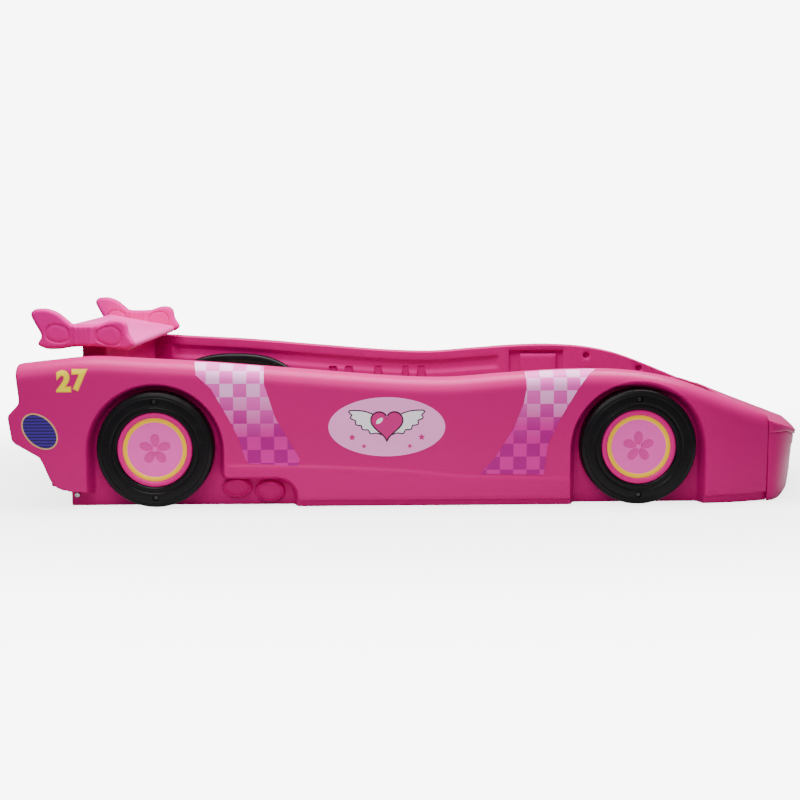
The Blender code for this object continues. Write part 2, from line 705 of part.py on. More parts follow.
def spoiler_wing(look):
    """The wing between the bows, with a rounded nose and a thin tail."""
    half = WING_CHORD / 2
    thick = WING_THICKNESS / 2
    outline = [pitched(-half, -thick), pitched(half - thick, -thick)]
    for step in range(7):
        angle = math.pi * (step / 6 - 0.5)
        outline.append(pitched(half - thick + thick * math.cos(angle), thick * math.sin(angle)))
    outline += [pitched(-half + 0.006, thick), pitched(-half, thick - 0.006)]
    del outline[1]
    return prism_y("spoiler_wing", outline, -WING_HALF_SPAN, WING_HALF_SPAN, look)


def spoiler_bow(look):
    """The left bow-shaped end plate of the wing, and its twin."""
    outline = [(WING_CENTRE_X + x, BOW_CENTRE_Z + z) for x, z in reversed(BOW_OUTLINE)]
    low = WING_HALF_SPAN + GAP
    bow = prism_y("bow", outline, low, low + BOW_THICKNESS)
    bevel(bow, 0.006, 2, 50.0)
    return both_sides(bow, "spoiler_bow", look)


# ---- Nose ----------------------------------------------------------------------------------------------
def seam_height(x):
    """Height of the seam between the hood and the bumper."""
    return SEAM_Z - SEAM_DROP_SLOPE * max(x - SEAM_DROP_X, 0.0)


def hood_skirt(x):
    """Height of the hood's lower edge."""
    return max(seam_height(x) - GAP, rim_height(x) - HOOD_SKIRT_DEPTH)


def hood_section(x, width, inset, drop):
    """One (y, z) section of the hood: a crowned top with rounded edges over straight skirts."""
    low = hood_skirt(x) - drop
    top = rim_height(x) - inset
    ring = [(-width, low), (width, low)]
    for step in range(13):
        y = width * math.cos(math.pi * step / 12)
        edge = (abs(y) / width) ** 8
        ring.append((y, top - HOOD_EDGE_DROP * edge + HOOD_CROWN * (1.0 - (y / width) ** 2)))
    return [(x, y, z) for y, z in ring]


def hood_body(inset, rear_x, drop):
    """The hood's outer body, or with an inset the space under its skin."""
    beside = INNER_HALF_WIDTH - GAP - inset
    step_x = SEAM_X + 2 * GAP + inset
    rings = [hood_section(x, beside, inset, drop) for x in spread(rear_x, step_x - GAP, 10)]
    reach = NOSE_X - 0.001 - 3 * inset - step_x
    for step in range(13):
        x = step_x + reach * math.sin(0.5 * math.pi * step / 12)
        rings.append(hood_section(x, half_width(x) - inset, inset, drop))
    return loft("hood", rings)


def hood(look):
    """The sloping hood: between the side panels at its rear, and over the whole nose ahead of them."""
    body = hood_body(0.0, HOOD_REAR_X, 0.0)
    cut(body, beyond_seam(0.0))
    cut(body, hood_body(HOOD_WALL, HOOD_REAR_X - OVERCUT, OVERCUT))
    return finish(body, look)


def bumper_front_x(z):
    """The bumper's foremost point at one height: it leans back towards the floor."""
    t = 1.0 - min(max(z / SEAM_Z, 0.0), 1.0)
    return NOSE_X - 0.004 - BUMPER_LEAN * t**1.3


def bumper_body(inset, rear_x, heights):
    """The bumper's outer body, or with an inset the space inside it."""
    rings = []
    for z in heights:
        tuck = 0.012 * max(1.0 - z / 0.03, 0.0)
        outline = nose_outline(rear_x, bumper_front_x(z) - tuck, SEAM_HALF_WIDTH - tuck, inset)
        rings.append([(x, y, z) for x, y in outline])
    return loft("bumper", rings)


def lamp_outline(side, grow=0.0):
    """The (y, z) outline of a slanted headlamp, wider and higher towards the car's side."""
    inner = side * (LAMP_Y - LAMP_HALF_WIDTH - grow)
    outer = side * (LAMP_Y + LAMP_HALF_WIDTH + grow)
    high = LAMP_Z + LAMP_HALF_HEIGHT + grow
    low = LAMP_Z - LAMP_HALF_HEIGHT - grow
    return [(inner, LAMP_Z - 0.012 - grow), (outer, low), (outer, high), (inner, high - 0.014)]


def grille_outline(grow=0.0):
    """The (y, z) outline of the grille, narrower at its foot."""
    half = GRILLE_HALF_WIDTH + grow
    high = GRILLE_Z + GRILLE_HALF_HEIGHT + grow
    low = GRILLE_Z - GRILLE_HALF_HEIGHT - grow
    return [(-half + 0.03, low), (half - 0.03, low), (half, high), (-half, high)]


def beyond_seam(far_z, offset=0.0):
    """A cutter from the seam, moved up by an offset, to a far height above or below it."""
    places = [SEAM_X - 2 * OVERCUT, SEAM_DROP_X, NOSE_X + OVERCUT]
    outline = [(x, seam_height(x) + offset) for x in places]
    outline += [(places[-1], far_z), (places[0], far_z)]
    return prism_y("seam", outline, -BODY_HALF_WIDTH - OVERCUT, BODY_HALF_WIDTH + OVERCUT)


def nose_insert(name, outline, sink, depth, look):
    """A piece of the nose's front, cut to an outline and sunk below the bumper's face."""
    heights = spread(0.0, SEAM_Z, 9)
    block = bumper_body(sink, SEAM_X + GAP, heights)
    block.name = name
    combine(block, prism_x("outline", outline, SEAM_X - OVERCUT, NOSE_X + OVERCUT), "INTERSECT")
    inner = bumper_body(sink + depth, SEAM_X - OVERCUT, heights)
    cut(block, inner)
    return finish(block, look)


def bumper(look):
    """The front bumper: a hollow moulding, open at its rear, with openings for the lamps and the grille."""
    heights = spread(0.0, 0.03, 3) + spread(0.03, SEAM_Z + 0.01, 6)[1:]
    body = bumper_body(0.0, SEAM_X + GAP, heights)
    cut(body, beyond_seam(2 * SEAM_Z, -GAP))
    hollow = bumper_body(BUMPER_WALL, SEAM_X - OVERCUT, spread(BUMPER_WALL, SEAM_Z + 0.01, 7))
    cut(hollow, beyond_seam(2 * SEAM_Z, -BUMPER_WALL))
    cut(body, hollow)
    ahead = NOSE_X + OVERCUT
    for side in (-1, 1):
        cut(body, prism_x("lamp", lamp_outline(side, GAP), SEAM_X + 0.02, ahead))
    cut(body, prism_x("grille", grille_outline(GAP), SEAM_X + 0.02, ahead))
    return finish(body, look)


def foot_panel(look):
    """The cross wall under the hood, between the hood's skirts."""
    half = INNER_HALF_WIDTH - HOOD_WALL - 2 * GAP
    front = SEAM_X
    low = (front - FOOT_PANEL_THICKNESS, -half, 0.0)
    return box("foot_panel", low, (front, half, FOOT_PANEL_TOP_Z), look)


def tail_panel(look):
    """The rear cross panel between the tail fins: a hollow moulding, open below."""
    half = INNER_HALF_WIDTH - GAP
    rear = TAIL_PANEL_X - 0.5 * TAIL_PANEL_THICKNESS
    front = TAIL_PANEL_X + 0.5 * TAIL_PANEL_THICKNESS
    outline = [(front, TAIL_PANEL_BOTTOM_Z), (front, TAIL_PANEL_TOP_Z), (rear, TAIL_PANEL_TOP_Z)]
    outline += [(rear - 0.004, 0.300), (rear - 0.020, 0.270), (rear - 0.020, 0.190), (rear + 0.010, 0.150)]
    outline += [(rear + 0.010, TAIL_PANEL_BOTTOM_Z)]
    panel = prism_y("tail_panel", outline, -half, half)
    inner = [(x, z) for x, z in inset_outline(outline, WALL)]
    inner[0] = (inner[0][0], TAIL_PANEL_BOTTOM_Z - OVERCUT)
    inner[-1] = (inner[-1][0], TAIL_PANEL_BOTTOM_Z - OVERCUT)
    cut(panel, prism_y("hollow", inner, -half + WALL, half - WALL))
    return finish(panel, look)


# ---- Deck ----------------------------------------------------------------------------------------------
def deck(plastic, wood):
    """Ledge rails on the liners, a centre beam on three legs, and the slats."""
    outer = INNER_HALF_WIDTH - GAP
    low_z = RAIL_TOP_Z - RAIL_HEIGHT
    rail = box("rail", (DECK_REAR_X, outer - RAIL_WIDTH, low_z), (DECK_FRONT_X, outer, RAIL_TOP_Z))
    both_sides(rail, "deck_rail", plastic)
    half = BEAM_WIDTH / 2
    box("centre_beam", (DECK_REAR_X, -half, low_z), (DECK_FRONT_X, half, RAIL_TOP_Z), plastic)
    for number, x in enumerate(LEG_STATIONS, 1):
        low = (x - LEG_SIZE / 2, -LEG_SIZE / 2, 0.0)
        box(f"beam_leg_{number}", low, (x + LEG_SIZE / 2, LEG_SIZE / 2, low_z - GAP), plastic)
    slat_low = RAIL_TOP_Z + GAP
    starts = spread(DECK_REAR_X + 0.012, DECK_FRONT_X - 0.012 - SLAT_WIDTH, SLAT_COUNT)
    for number, x in enumerate(starts, 1):
        low = (x, -outer + 0.004, slat_low)
        box(f"slat_{number:02d}", low, (x + SLAT_WIDTH, outer - 0.004, slat_low + SLAT_THICKNESS), wood)


def build():
    """Model the whole bed."""
    clear_scene()
    pink = material("pink_plastic", PINK, 0.35)
    bow_pink = material("bow_pink_plastic", BOW_PINK, 0.35)
    lilac = material("lilac_pink_plastic", LILAC_PINK, 0.40)
    black = material("black_plastic", BLACK, 0.35)
    lamp = material("lamp_grey", LAMP_GREY, 0.25)
    steel = material("bolt_steel", STEEL, 0.35, 1.0)
    wood = material("slat_wood", WOOD, 0.60)

    side_shell(pink)
    side_liner(pink)
    housing_cover(black)
    for end, x in (("rear", REAR_WHEEL_X), ("front", FRONT_WHEEL_X)):
        tyre(x, black, f"tyre_{end}")
        hub_cap(x, lilac, f"hub_cap_{end}")
    for place, x, z in wheel_bolt_places():
        bolt(x, z, WHEEL_FACE_Y - BOLT_SINK + GAP, WHEEL_BOLT_LENGTH, steel, f"wheel_bolt_{place}")
    x, z = corner_bolt_place()
    bolt(x, z, WELL_FLOOR_Y + GAP, CORNER_BOLT_LENGTH, steel, "corner_bolt")
    headboard(pink)
    spoiler_wing(lilac)
    spoiler_bow(bow_pink)
    hood(pink)
    bumper(pink)
    for side, word in ((-1, "right"), (1, "left")):
        nose_insert(f"headlight_{word}", lamp_outline(side), 0.003, 0.012, lamp)
    nose_insert("grille", grille_outline(), 0.006, 0.012, black)
    foot_panel(pink)
    tail_panel(pink)
    deck(black, wood)


build()
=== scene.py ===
"""The looks of a race-car toddler bed: moulded panels, wheels, hood, winged spoiler and slatted deck.

Everything stands in the frame's own axes: metres, +Z up, +X towards the nose, +Y to the car's left.
"""

import math

import bmesh
import bpy
import numpy as np
from mathutils import Matrix, Vector
from mathutils.geometry import delaunay_2d_cdt


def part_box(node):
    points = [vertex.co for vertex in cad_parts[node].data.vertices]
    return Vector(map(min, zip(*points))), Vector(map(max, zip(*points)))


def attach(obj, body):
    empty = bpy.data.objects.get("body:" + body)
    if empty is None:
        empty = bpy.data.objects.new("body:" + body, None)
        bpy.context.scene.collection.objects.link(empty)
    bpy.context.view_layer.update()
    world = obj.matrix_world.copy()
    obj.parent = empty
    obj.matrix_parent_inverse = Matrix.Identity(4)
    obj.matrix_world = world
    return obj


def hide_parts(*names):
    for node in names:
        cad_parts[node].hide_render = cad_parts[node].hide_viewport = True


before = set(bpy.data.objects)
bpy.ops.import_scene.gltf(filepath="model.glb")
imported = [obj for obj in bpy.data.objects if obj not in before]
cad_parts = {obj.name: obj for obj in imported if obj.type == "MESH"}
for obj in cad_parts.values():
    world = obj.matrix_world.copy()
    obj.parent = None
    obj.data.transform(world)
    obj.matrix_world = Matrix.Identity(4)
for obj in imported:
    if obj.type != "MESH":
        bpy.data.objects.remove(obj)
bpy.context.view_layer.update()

bl_info = {
    "name": "Race-car toddler bed",
    "version": (1, 0, 0),
    "blender": (4, 5, 0),
    "location": "View3D > Sidebar > Toddler Bed",
    "description": "Builds the moulded panels, wheels, spoiler and deck of a race-car toddler bed",
    "category": "Add Mesh",
}


# ---- Places and sizes read from the frame --------------------------------------------------------
def node_box(node):
    """A node's lowest and highest corners, as vectors."""
    low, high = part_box(node)
    return Vector(low), Vector(high)


SHELL_LOW, SHELL_HIGH = node_box("side_shell_left")
LINER_LOW, LINER_HIGH = node_box("side_liner_left")
TYRE_LOW, TYRE_HIGH = node_box("tyre_rear_left")
HOOD_LOW, HOOD_HIGH = node_box("hood")
BOARD_LOW, BOARD_HIGH = node_box("headboard")
WING_HALF_SPAN = node_box("spoiler_wing")[1].y
BOW_LOW_Y = node_box("spoiler_bow_left")[0].y
COVER_LOW, COVER_HIGH = node_box("wheel_housing_cover_left")
TAIL_HIGH = node_box("tail_panel")[1]

BODY_HALF_WIDTH = SHELL_HIGH.y
INNER_Y = SHELL_LOW.y
SEAM_X = SHELL_HIGH.x
NOSE_X = HOOD_HIGH.x + 0.001
WELL_FLOOR_Y = TYRE_LOW.y
WHEEL_FACE_Y = TYRE_HIGH.y
WHEEL_RADIUS = 0.5 * (TYRE_HIGH.z - TYRE_LOW.z)
WHEEL_Z = 0.5 * (TYRE_HIGH.z + TYRE_LOW.z)
GAP = 0.0003


def centre_x(node):
    """The middle of a node along the car."""
    low, high = node_box(node)
    return 0.5 * (low.x + high.x)


WHEEL_X = {"rear": centre_x("tyre_rear_left"), "front": centre_x("tyre_front_left")}

# ---- Shapes that the frame's boxes don't hold ----------------------------------------------------
RIM_STATIONS = [
    (-1.205, 0.412), (-1.080, 0.426), (-0.960, 0.436), (-0.800, 0.428), (-0.600, 0.416), (-0.350, 0.395),
    (-0.100, 0.375), (0.060, 0.370), (0.220, 0.381), (0.380, 0.391), (0.520, 0.392), (0.640, 0.381),
    (0.760, 0.352), (1.003, 0.254), (1.200, 0.178),
]
TAPER_START_X = 0.780
SEAM_HALF_WIDTH = 0.538
SHOULDER_RADIUS = 0.048
TAIL_FIN = [
    (-1.174, 0.395), (-1.165, 0.306), (-1.200, 0.270), (-1.190, 0.200), (-1.182, 0.190),
    (-1.114, 0.150), (-1.106, 0.138), (-1.084, 0.082), (-1.068, 0.062), (-1.050, 0.053), (-1.034, 0.052),
]
WELL_RADIUS = 0.193
WELL_CENTRE_Z = 0.163
PLINTH_DEPTH = 0.013
PLINTH_HEIGHT = 0.020
FOOT_HEIGHT = 0.046
NOTCH_TOP_Z = 0.085
NOTCH_END_X = -0.375
HUB_RADIUS = 0.108
RING_RADIUS = 0.0915  # outside of the hub cap's yellow ring
DISC_RADIUS = 0.0795  # the disc inside the ring
BOLT_CIRCLE = 0.139
BOLT_SINK = 0.009  # depth of a bolt's well in the tyre
BOLT_HEAD_HEIGHT = 0.0045
SEAM_Z = 0.203
SEAM_DROP_X = 1.070
SEAM_DROP_SLOPE = 0.42
BUMPER_LEAN = 0.034


def smooth_value(stations, at):
    """Read a smooth curve (a Catmull-Rom through the stations) at one place."""
    at = min(max(at, stations[0][0]), stations[-1][0])
    index = max(i for i in range(len(stations) - 1) if stations[i][0] <= at)

    def slope(i):
        low = max(i - 1, 0)
        high = min(i + 1, len(stations) - 1)
        return (stations[high][1] - stations[low][1]) / (stations[high][0] - stations[low][0])

    (x0, z0), (x1, z1) = stations[index], stations[index + 1]
    span = x1 - x0
    t = (at - x0) / span
    start = (2 * t**3 - 3 * t**2 + 1) * z0 + (t**3 - 2 * t**2 + t) * span * slope(index)
    end = (3 * t**2 - 2 * t**3) * z1 + (t**3 - t**2) * span * slope(index + 1)
    return start + end


def rim_height(x):
    """Height of the body's top edge."""
    return smooth_value(RIM_STATIONS, x)


def half_width(x):
    """Half the body's width: straight sides, drawn-in front fenders and a rounded nose."""
    if x <= TAPER_START_X:
        return BODY_HALF_WIDTH
    if x <= SEAM_X:
        t = (x - TAPER_START_X) / (SEAM_X - TAPER_START_X)
        return BODY_HALF_WIDTH + (SEAM_HALF_WIDTH - BODY_HALF_WIDTH) * t**2
    t = min((x - SEAM_X) / (NOSE_X - SEAM_X), 1.0)
    return SEAM_HALF_WIDTH * (1.0 - t**1.8) ** 0.6


def seam_height(x):
    """Height of the seam between the hood and the bumper."""
    return SEAM_Z - SEAM_DROP_SLOPE * max(x - SEAM_DROP_X, 0.0)


def ease(low, high, value):
    """A smooth step from 0 at low to 1 at high."""
    t = np.clip((np.asarray(value, float) - low) / (high - low), 0.0, 1.0)
    return t * t * (3.0 - 2.0 * t)


def spread(low, high, count):
    """Evenly spaced values from low to high."""
    return [low + (high - low) * step / (count - 1) for step in range(count)]


def arc(centre, radius, start, end, segments, flatten=1.0):
    """Points of an arc between two angles in degrees; flatten scales its height."""
    points = []
    for degrees in spread(start, end, segments + 1):
        turn = math.radians(degrees)
        points.append((centre[0] + radius * math.cos(turn), centre[1] + flatten * radius * math.sin(turn)))
    return points


def rounded_corner(before, here, after, radius, segments):
    """The curve that rounds one corner of a path, kept short where the corner's sides are short."""
    before, here, after = Vector(before), Vector(here), Vector(after)
    cut = min(radius, 0.45 * (before - here).length, 0.45 * (after - here).length)
    start = here + (before - here).normalized() * cut
    end = here + (after - here).normalized() * cut
    steps = spread(0.0, 1.0, segments + 1)
    return [tuple(start * (1 - t) ** 2 + here * 2 * t * (1 - t) + end * t**2) for t in steps]


def rounded_path(corners, radius, segments=6):
    """A closed outline with its corners rounded; radius may be one value or one for each corner."""
    count = len(corners)
    radii = radius if isinstance(radius, (list, tuple)) else [radius] * count
    points = []
    for index, size in enumerate(radii):
        after = corners[(index + 1) % count]
        points += rounded_corner(corners[index - 1], corners[index], after, size, segments)
    return points


def smooth_path(points, steps=6):
    """A closed smooth curve through points."""
    made = []
    count = len(points)
    for index in range(count):
        p0, p1, p2, p3 = (Vector(points[(index + k) % count]) for k in (-1, 0, 1, 2))
        for t in spread(0.0, 1.0, steps + 1)[:-1]:
            a = 2 * p1 + (p2 - p0) * t + (2 * p0 - 5 * p1 + 4 * p2 - p3) * t**2
            made.append(tuple(0.5 * (a + (3 * p1 - p0 - 3 * p2 + p3) * t**3)))
    return made


# ---- Flat outlines as arrays ---------------------------------------------------------------------
def area_of(path):
    """Signed area of a closed path."""
    x, y = np.asarray(path).T
    return 0.5 * float(np.sum(x * np.roll(y, -1) - y * np.roll(x, -1)))


def inside(points, path):
    """Which points lie inside a closed path."""
    points = np.asarray(points, float)
    path = np.asarray(path, float)
    found = np.zeros(len(points), bool)
    for (x0, y0), (x1, y1) in zip(path, np.roll(path, -1, axis=0)):
        if y0 == y1:
            continue
        crosses = (points[:, 1] < y0) != (points[:, 1] < y1)
        found ^= crosses & (points[:, 0] < x0 + (points[:, 1] - y0) * (x1 - x0) / (y1 - y0))
    return found


def distance(points, path, closed=True):
    """How far points are from a path."""
    points = np.asarray(points, float)
    path = np.asarray(path, float)
    ends = np.roll(path, -1, axis=0) if closed else path[1:]
    starts = path if closed else path[:-1]
    best = np.full(len(points), 1e9)
    for a, b in zip(starts, ends):
        along = b - a
        length = float(along @ along)
        t = np.clip(((points - a) @ along) / max(length, 1e-12), 0.0, 1.0)
        near = a + t[:, None] * along
        best = np.minimum(best, np.hypot(*(points - near).T))
    return best


def signed_distance(points, path):
    """Distance to a closed path, negative inside it."""
    return np.where(inside(points, path), -1.0, 1.0) * distance(points, path)


def offset_path(path, distance_out):
    """A closed path moved outward by a distance."""
    path = np.asarray(path, float)
    if area_of(path) < 0:
        path = path[::-1]
    before = path - np.roll(path, 1, axis=0)
    after = np.roll(path, -1, axis=0) - path
    before /= np.maximum(np.linalg.norm(before, axis=1, keepdims=True), 1e-9)
    after /= np.maximum(np.linalg.norm(after, axis=1, keepdims=True), 1e-9)
    along = before + after
    along /= np.maximum(np.linalg.norm(along, axis=1, keepdims=True), 1e-9)
    normal = np.stack([along[:, 1], -along[:, 0]], axis=1)
    corner = np.maximum(np.sum(normal * np.stack([before[:, 1], -before[:, 0]], axis=1), axis=1), 0.6)
    return path + normal * (distance_out / corner)[:, None]


def resample(path, spacing, closed=True):
    """The same path with points at most a spacing apart."""
    path = [tuple(point) for point in path]
    ends = path[1:] + path[:1] if closed else path[1:]
    made = []
    for (x0, y0), (x1, y1) in zip(path, ends):
        pieces = max(1, math.ceil(math.hypot(x1 - x0, y1 - y0) / spacing))
        made += [(x0 + (x1 - x0) * k / pieces, y0 + (y1 - y0) * k / pieces) for k in range(pieces)]
    return made if closed else made + [path[-1]]


class Recess:
    """A sunk or raised region of a moulded skin: its path, and its depth across the path's edge."""

    def __init__(self, path, depth, fillet=0.005, slope=0.004):
        self.path = path
        outer = fillet
        inner = fillet + slope
        self.steps = [(outer, 0.0), (0.55 * outer, 0.07), (0.2 * outer, 0.22), (-0.2 * outer, 0.40)]
        self.steps += [(-slope - 0.2 * fillet, 0.78), (-inner + 0.35 * fillet, 0.93)]
        self.steps.append((-inner - 0.4 * fillet, 1.0))
        self.depth = depth

    def guides(self):
        """The lines that the mesh follows around the region's edge."""
        return [offset_path(self.path, reach) for reach, _ in self.steps]

    def depth_at(self, points):
        """The region's depth at flat points."""
        reach = signed_distance(points, self.path)
        places = [step[0] for step in self.steps][::-1]
        shares = [step[1] for step in self.steps][::-1]
        return self.depth * np.interp(reach, places, shares)


def triangulate(outline, guides, spacing):
    """Fill an outline with triangles whose edges follow the guides. Returns flat points and faces."""
    coords = []
    edges = []
    for path, closed in [(outline, True)] + guides:
        first = len(coords)
        coords += [Vector(point) for point in path]
        edges += [(first + k, first + k + 1) for k in range(len(path) - 1)]
        if closed:
            edges.append((len(coords) - 1, first))
    low = np.min(np.asarray(outline), axis=0)
    high = np.max(np.asarray(outline), axis=0)
    columns = np.arange(low[0] + 0.5 * spacing, high[0], spacing)
    rows = np.arange(low[1] + 0.5 * spacing, high[1], spacing * 0.87)
    grid = [(x + 0.5 * spacing * (k % 2), y) for k, y in enumerate(rows) for x in columns]
    grid = np.asarray(grid) if grid else np.zeros((0, 2))
    lines = np.asarray([tuple(point) for point in coords])
    keep = inside(grid, outline)
    grid = grid[keep]
    clear = np.full(len(grid), True)
    for chunk in np.array_split(lines, max(1, len(lines) // 400)):
        if len(grid):
            across = grid[:, None, :] - chunk[None, :, :]
            clear &= np.hypot(across[..., 0], across[..., 1]).min(axis=1) > 0.45 * spacing
    coords += [Vector(point) for point in grid[clear]]
    flat, _, faces, _, _, _ = delaunay_2d_cdt(coords, edges, [], 0, 1e-6)
    flat = np.asarray([tuple(point) for point in flat])
    faces = np.asarray(faces)
    centres = flat[faces].mean(axis=1)
    return flat, faces[inside(centres, outline)]


# ---- Mesh helpers --------------------------------------------------------------------------------
def link(name, mesh, *materials):
    """Turn mesh data into an object that rides on the bed."""
    obj = bpy.data.objects.new(name, mesh)
    bpy.context.scene.collection.objects.link(obj)
    for made in materials:
        obj.data.materials.append(made)
    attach(obj, "root")
    return obj


def from_bmesh(name, made, *materials, sharp=40.0, facing=None):
    """Finish a bmesh: clean it, point its faces out and shade it smooth up to a sharp angle.

    An open surface may name the direction that it mostly faces.
    """
    bmesh.ops.remove_doubles(made, verts=made.verts, dist=1e-5)
    bmesh.ops.dissolve_degenerate(made, edges=made.edges, dist=1e-6)
    bmesh.ops.recalc_face_normals(made, faces=made.faces)
    if facing:
        made.normal_update()
        if sum(face.normal.dot(Vector(facing)) * face.calc_area() for face in made.faces) < 0.0:
            bmesh.ops.reverse_faces(made, faces=made.faces)
    mesh = bpy.data.meshes.new(name)
    made.to_mesh(mesh)
    made.free()
    mesh.shade_smooth()
    mesh.set_sharp_from_angle(angle=math.radians(sharp))
    return link(name, mesh, *materials)


def mirror_copy(obj, name):
    """The same piece on the car's other side."""
    mesh = obj.data.copy()
    mesh.transform(Matrix.Scale(-1.0, 4, Vector((0.0, 1.0, 0.0))))
    mesh.flip_normals()
    return link(name, mesh)


def both_sides(obj, stem):
    """Name a left-hand piece for its node, add its twin, and let both stand for their nodes."""
    obj.name = stem + "_left_skin"
    twin = mirror_copy(obj, stem + "_right_skin")
    for piece, side in ((obj, "left"), (twin, "right")):
        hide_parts(f"{stem}_{side}")
    return obj, twin


def stand_for(obj, node):
    """Let a piece stand for one node."""
    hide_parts(node)
    return obj


def skin(name, outline, recesses, place, wall_to, facing, *materials, spacing=0.012, guides=(), closed=False):
    """A moulded skin over a flat outline, with sunk regions, and a wall around its edge.

    place(points, depth) puts flat points in space; wall_to moves the boundary's points to the back, which
    stays open unless closed is set. The flat places are kept as a texture layout named flat.
    """
    lines = [(resample(path, spacing), True) for recess in recesses for path in recess.guides()]
    lines += [(resample(path, spacing, loop), loop) for path, loop in guides]
    flat, faces = triangulate(resample(outline, spacing), lines, spacing)
    depth = np.zeros(len(flat))
    for recess in recesses:
        found = recess.depth_at(flat)
        depth = np.where(np.abs(found) > np.abs(depth), found, depth)
    points = place(flat, depth)
    made = bmesh.new()
    verts = [made.verts.new(point) for point in points]
    layout = made.loops.layers.uv.new("flat")
    for corners in faces:
        face = made.faces.new([verts[corner] for corner in corners])
        for loop, corner in zip(face.loops, corners):
            loop[layout].uv = flat[corner]
    for vert in [v for v in made.verts if not v.link_faces]:
        made.verts.remove(vert)
    if wall_to:
        rim = [edge for edge in made.edges if len(edge.link_faces) == 1]
        grown = bmesh.ops.extrude_edge_only(made, edges=rim)
        for vert in [item for item in grown["geom"] if isinstance(item, bmesh.types.BMVert)]:
            vert.co = wall_to(vert.co)
    if closed:
        back = [edge for edge in made.edges if len(edge.link_faces) == 1]
        bmesh.ops.holes_fill(made, edges=back, sides=0)
    return from_bmesh(name, made, *materials, facing=None if closed else facing)


def thicken(obj, amount):
    """Give an open skin a wall, inward."""
    modifier = obj.modifiers.new("wall", "SOLIDIFY")
    modifier.thickness = amount
    modifier.offset = -1.0
    return bake(obj)


def bake(obj):
    """Put an object's modifiers into its mesh."""
    bpy.context.view_layer.update()
    graph = bpy.context.evaluated_depsgraph_get()
    mesh = bpy.data.meshes.new_from_object(obj.evaluated_get(graph))
    obj.modifiers.clear()
    obj.data = mesh
    return obj


def bevelled(obj, width, segments=3, angle=35.0):
    """Round an object's sharp edges."""
    modifier = obj.modifiers.new("rounding", "BEVEL")
    modifier.width = width
    modifier.segments = segments
    modifier.limit_method = "ANGLE"
    modifier.angle_limit = math.radians(angle)
    modifier.harden_normals = True
    return bake(obj)


def add_box(made, low, high):
    """A box in a bmesh."""
    size = Vector(high) - Vector(low)
    middle = (Vector(high) + Vector(low)) / 2
    matrix = Matrix.Translation(middle) @ Matrix.Diagonal((*size, 1.0))
    return bmesh.ops.create_cube(made, size=1.0, matrix=matrix)


def loft(made, rings, capped=True):
    """Quads through rings of equally many points, with flat ends."""
    loops = [[made.verts.new(point) for point in ring] for ring in rings]
    count = len(rings[0])
    for near, far in zip(loops, loops[1:]):
        for index in range(count):
            following = (index + 1) % count
            made.faces.new((near[index], near[following], far[following], far[index]))
    if capped:
        made.faces.new(loops[0])
        made.faces.new(loops[-1])
    return loops


def turned(made, profile, centre, segments=96):
    """A (radius, y) profile turned about an axis along Y through the centre (x, z)."""
    columns = []
    for step in range(segments):
        angle = 2.0 * math.pi * step / segments
        turn = (math.cos(angle), math.sin(angle))
        column = [made.verts.new((centre[0] + r * turn[0], y, centre[1] + r * turn[1])) for r, y in profile]
        columns.append(column)
    for step in range(segments):
        here = columns[step]
        there = columns[(step + 1) % segments]
        for index in range(len(profile) - 1):
            corners = (here[index], here[index + 1], there[index + 1], there[index])
            made.faces.new(corners)
    return columns


# ---- Materials -----------------------------------------------------------------------------------
class Value:
    """A number from a shader socket; the arithmetic signs make Math nodes."""

    def __init__(self, look, socket):
        self.look = look
        self.socket = socket

    def math(self, operation, *others, clamp=False):
        """A Math node on this value and others."""
        inputs = {index: item for index, item in enumerate((self, *others))}
        return self.look.node("ShaderNodeMath", {"operation": operation, "use_clamp": clamp}, inputs)

    def __add__(self, other):
        return self.math("ADD", other)

    __radd__ = __add__

    def __sub__(self, other):
        return self.math("SUBTRACT", other)

    def __rsub__(self, other):
        return self.look.node("ShaderNodeMath", {"operation": "SUBTRACT"}, {0: other, 1: self})

    def __mul__(self, other):
        return self.math("MULTIPLY", other)

    __rmul__ = __mul__

    def __truediv__(self, other):
        return self.math("DIVIDE", other)

    def __lt__(self, other):
        return self.math("LESS_THAN", other)

    def __gt__(self, other):
        return self.math("GREATER_THAN", other)

    def mod(self, other):
        """The remainder, always positive."""
        return self.math("FLOORED_MODULO", other)

    def step(self, low, high):
        """A smooth step from 0 at low to 1 at high."""
        settings = {"interpolation_type": "SMOOTHSTEP"}
        return self.look.node("ShaderNodeMapRange", settings, {0: self, 1: low, 2: high})


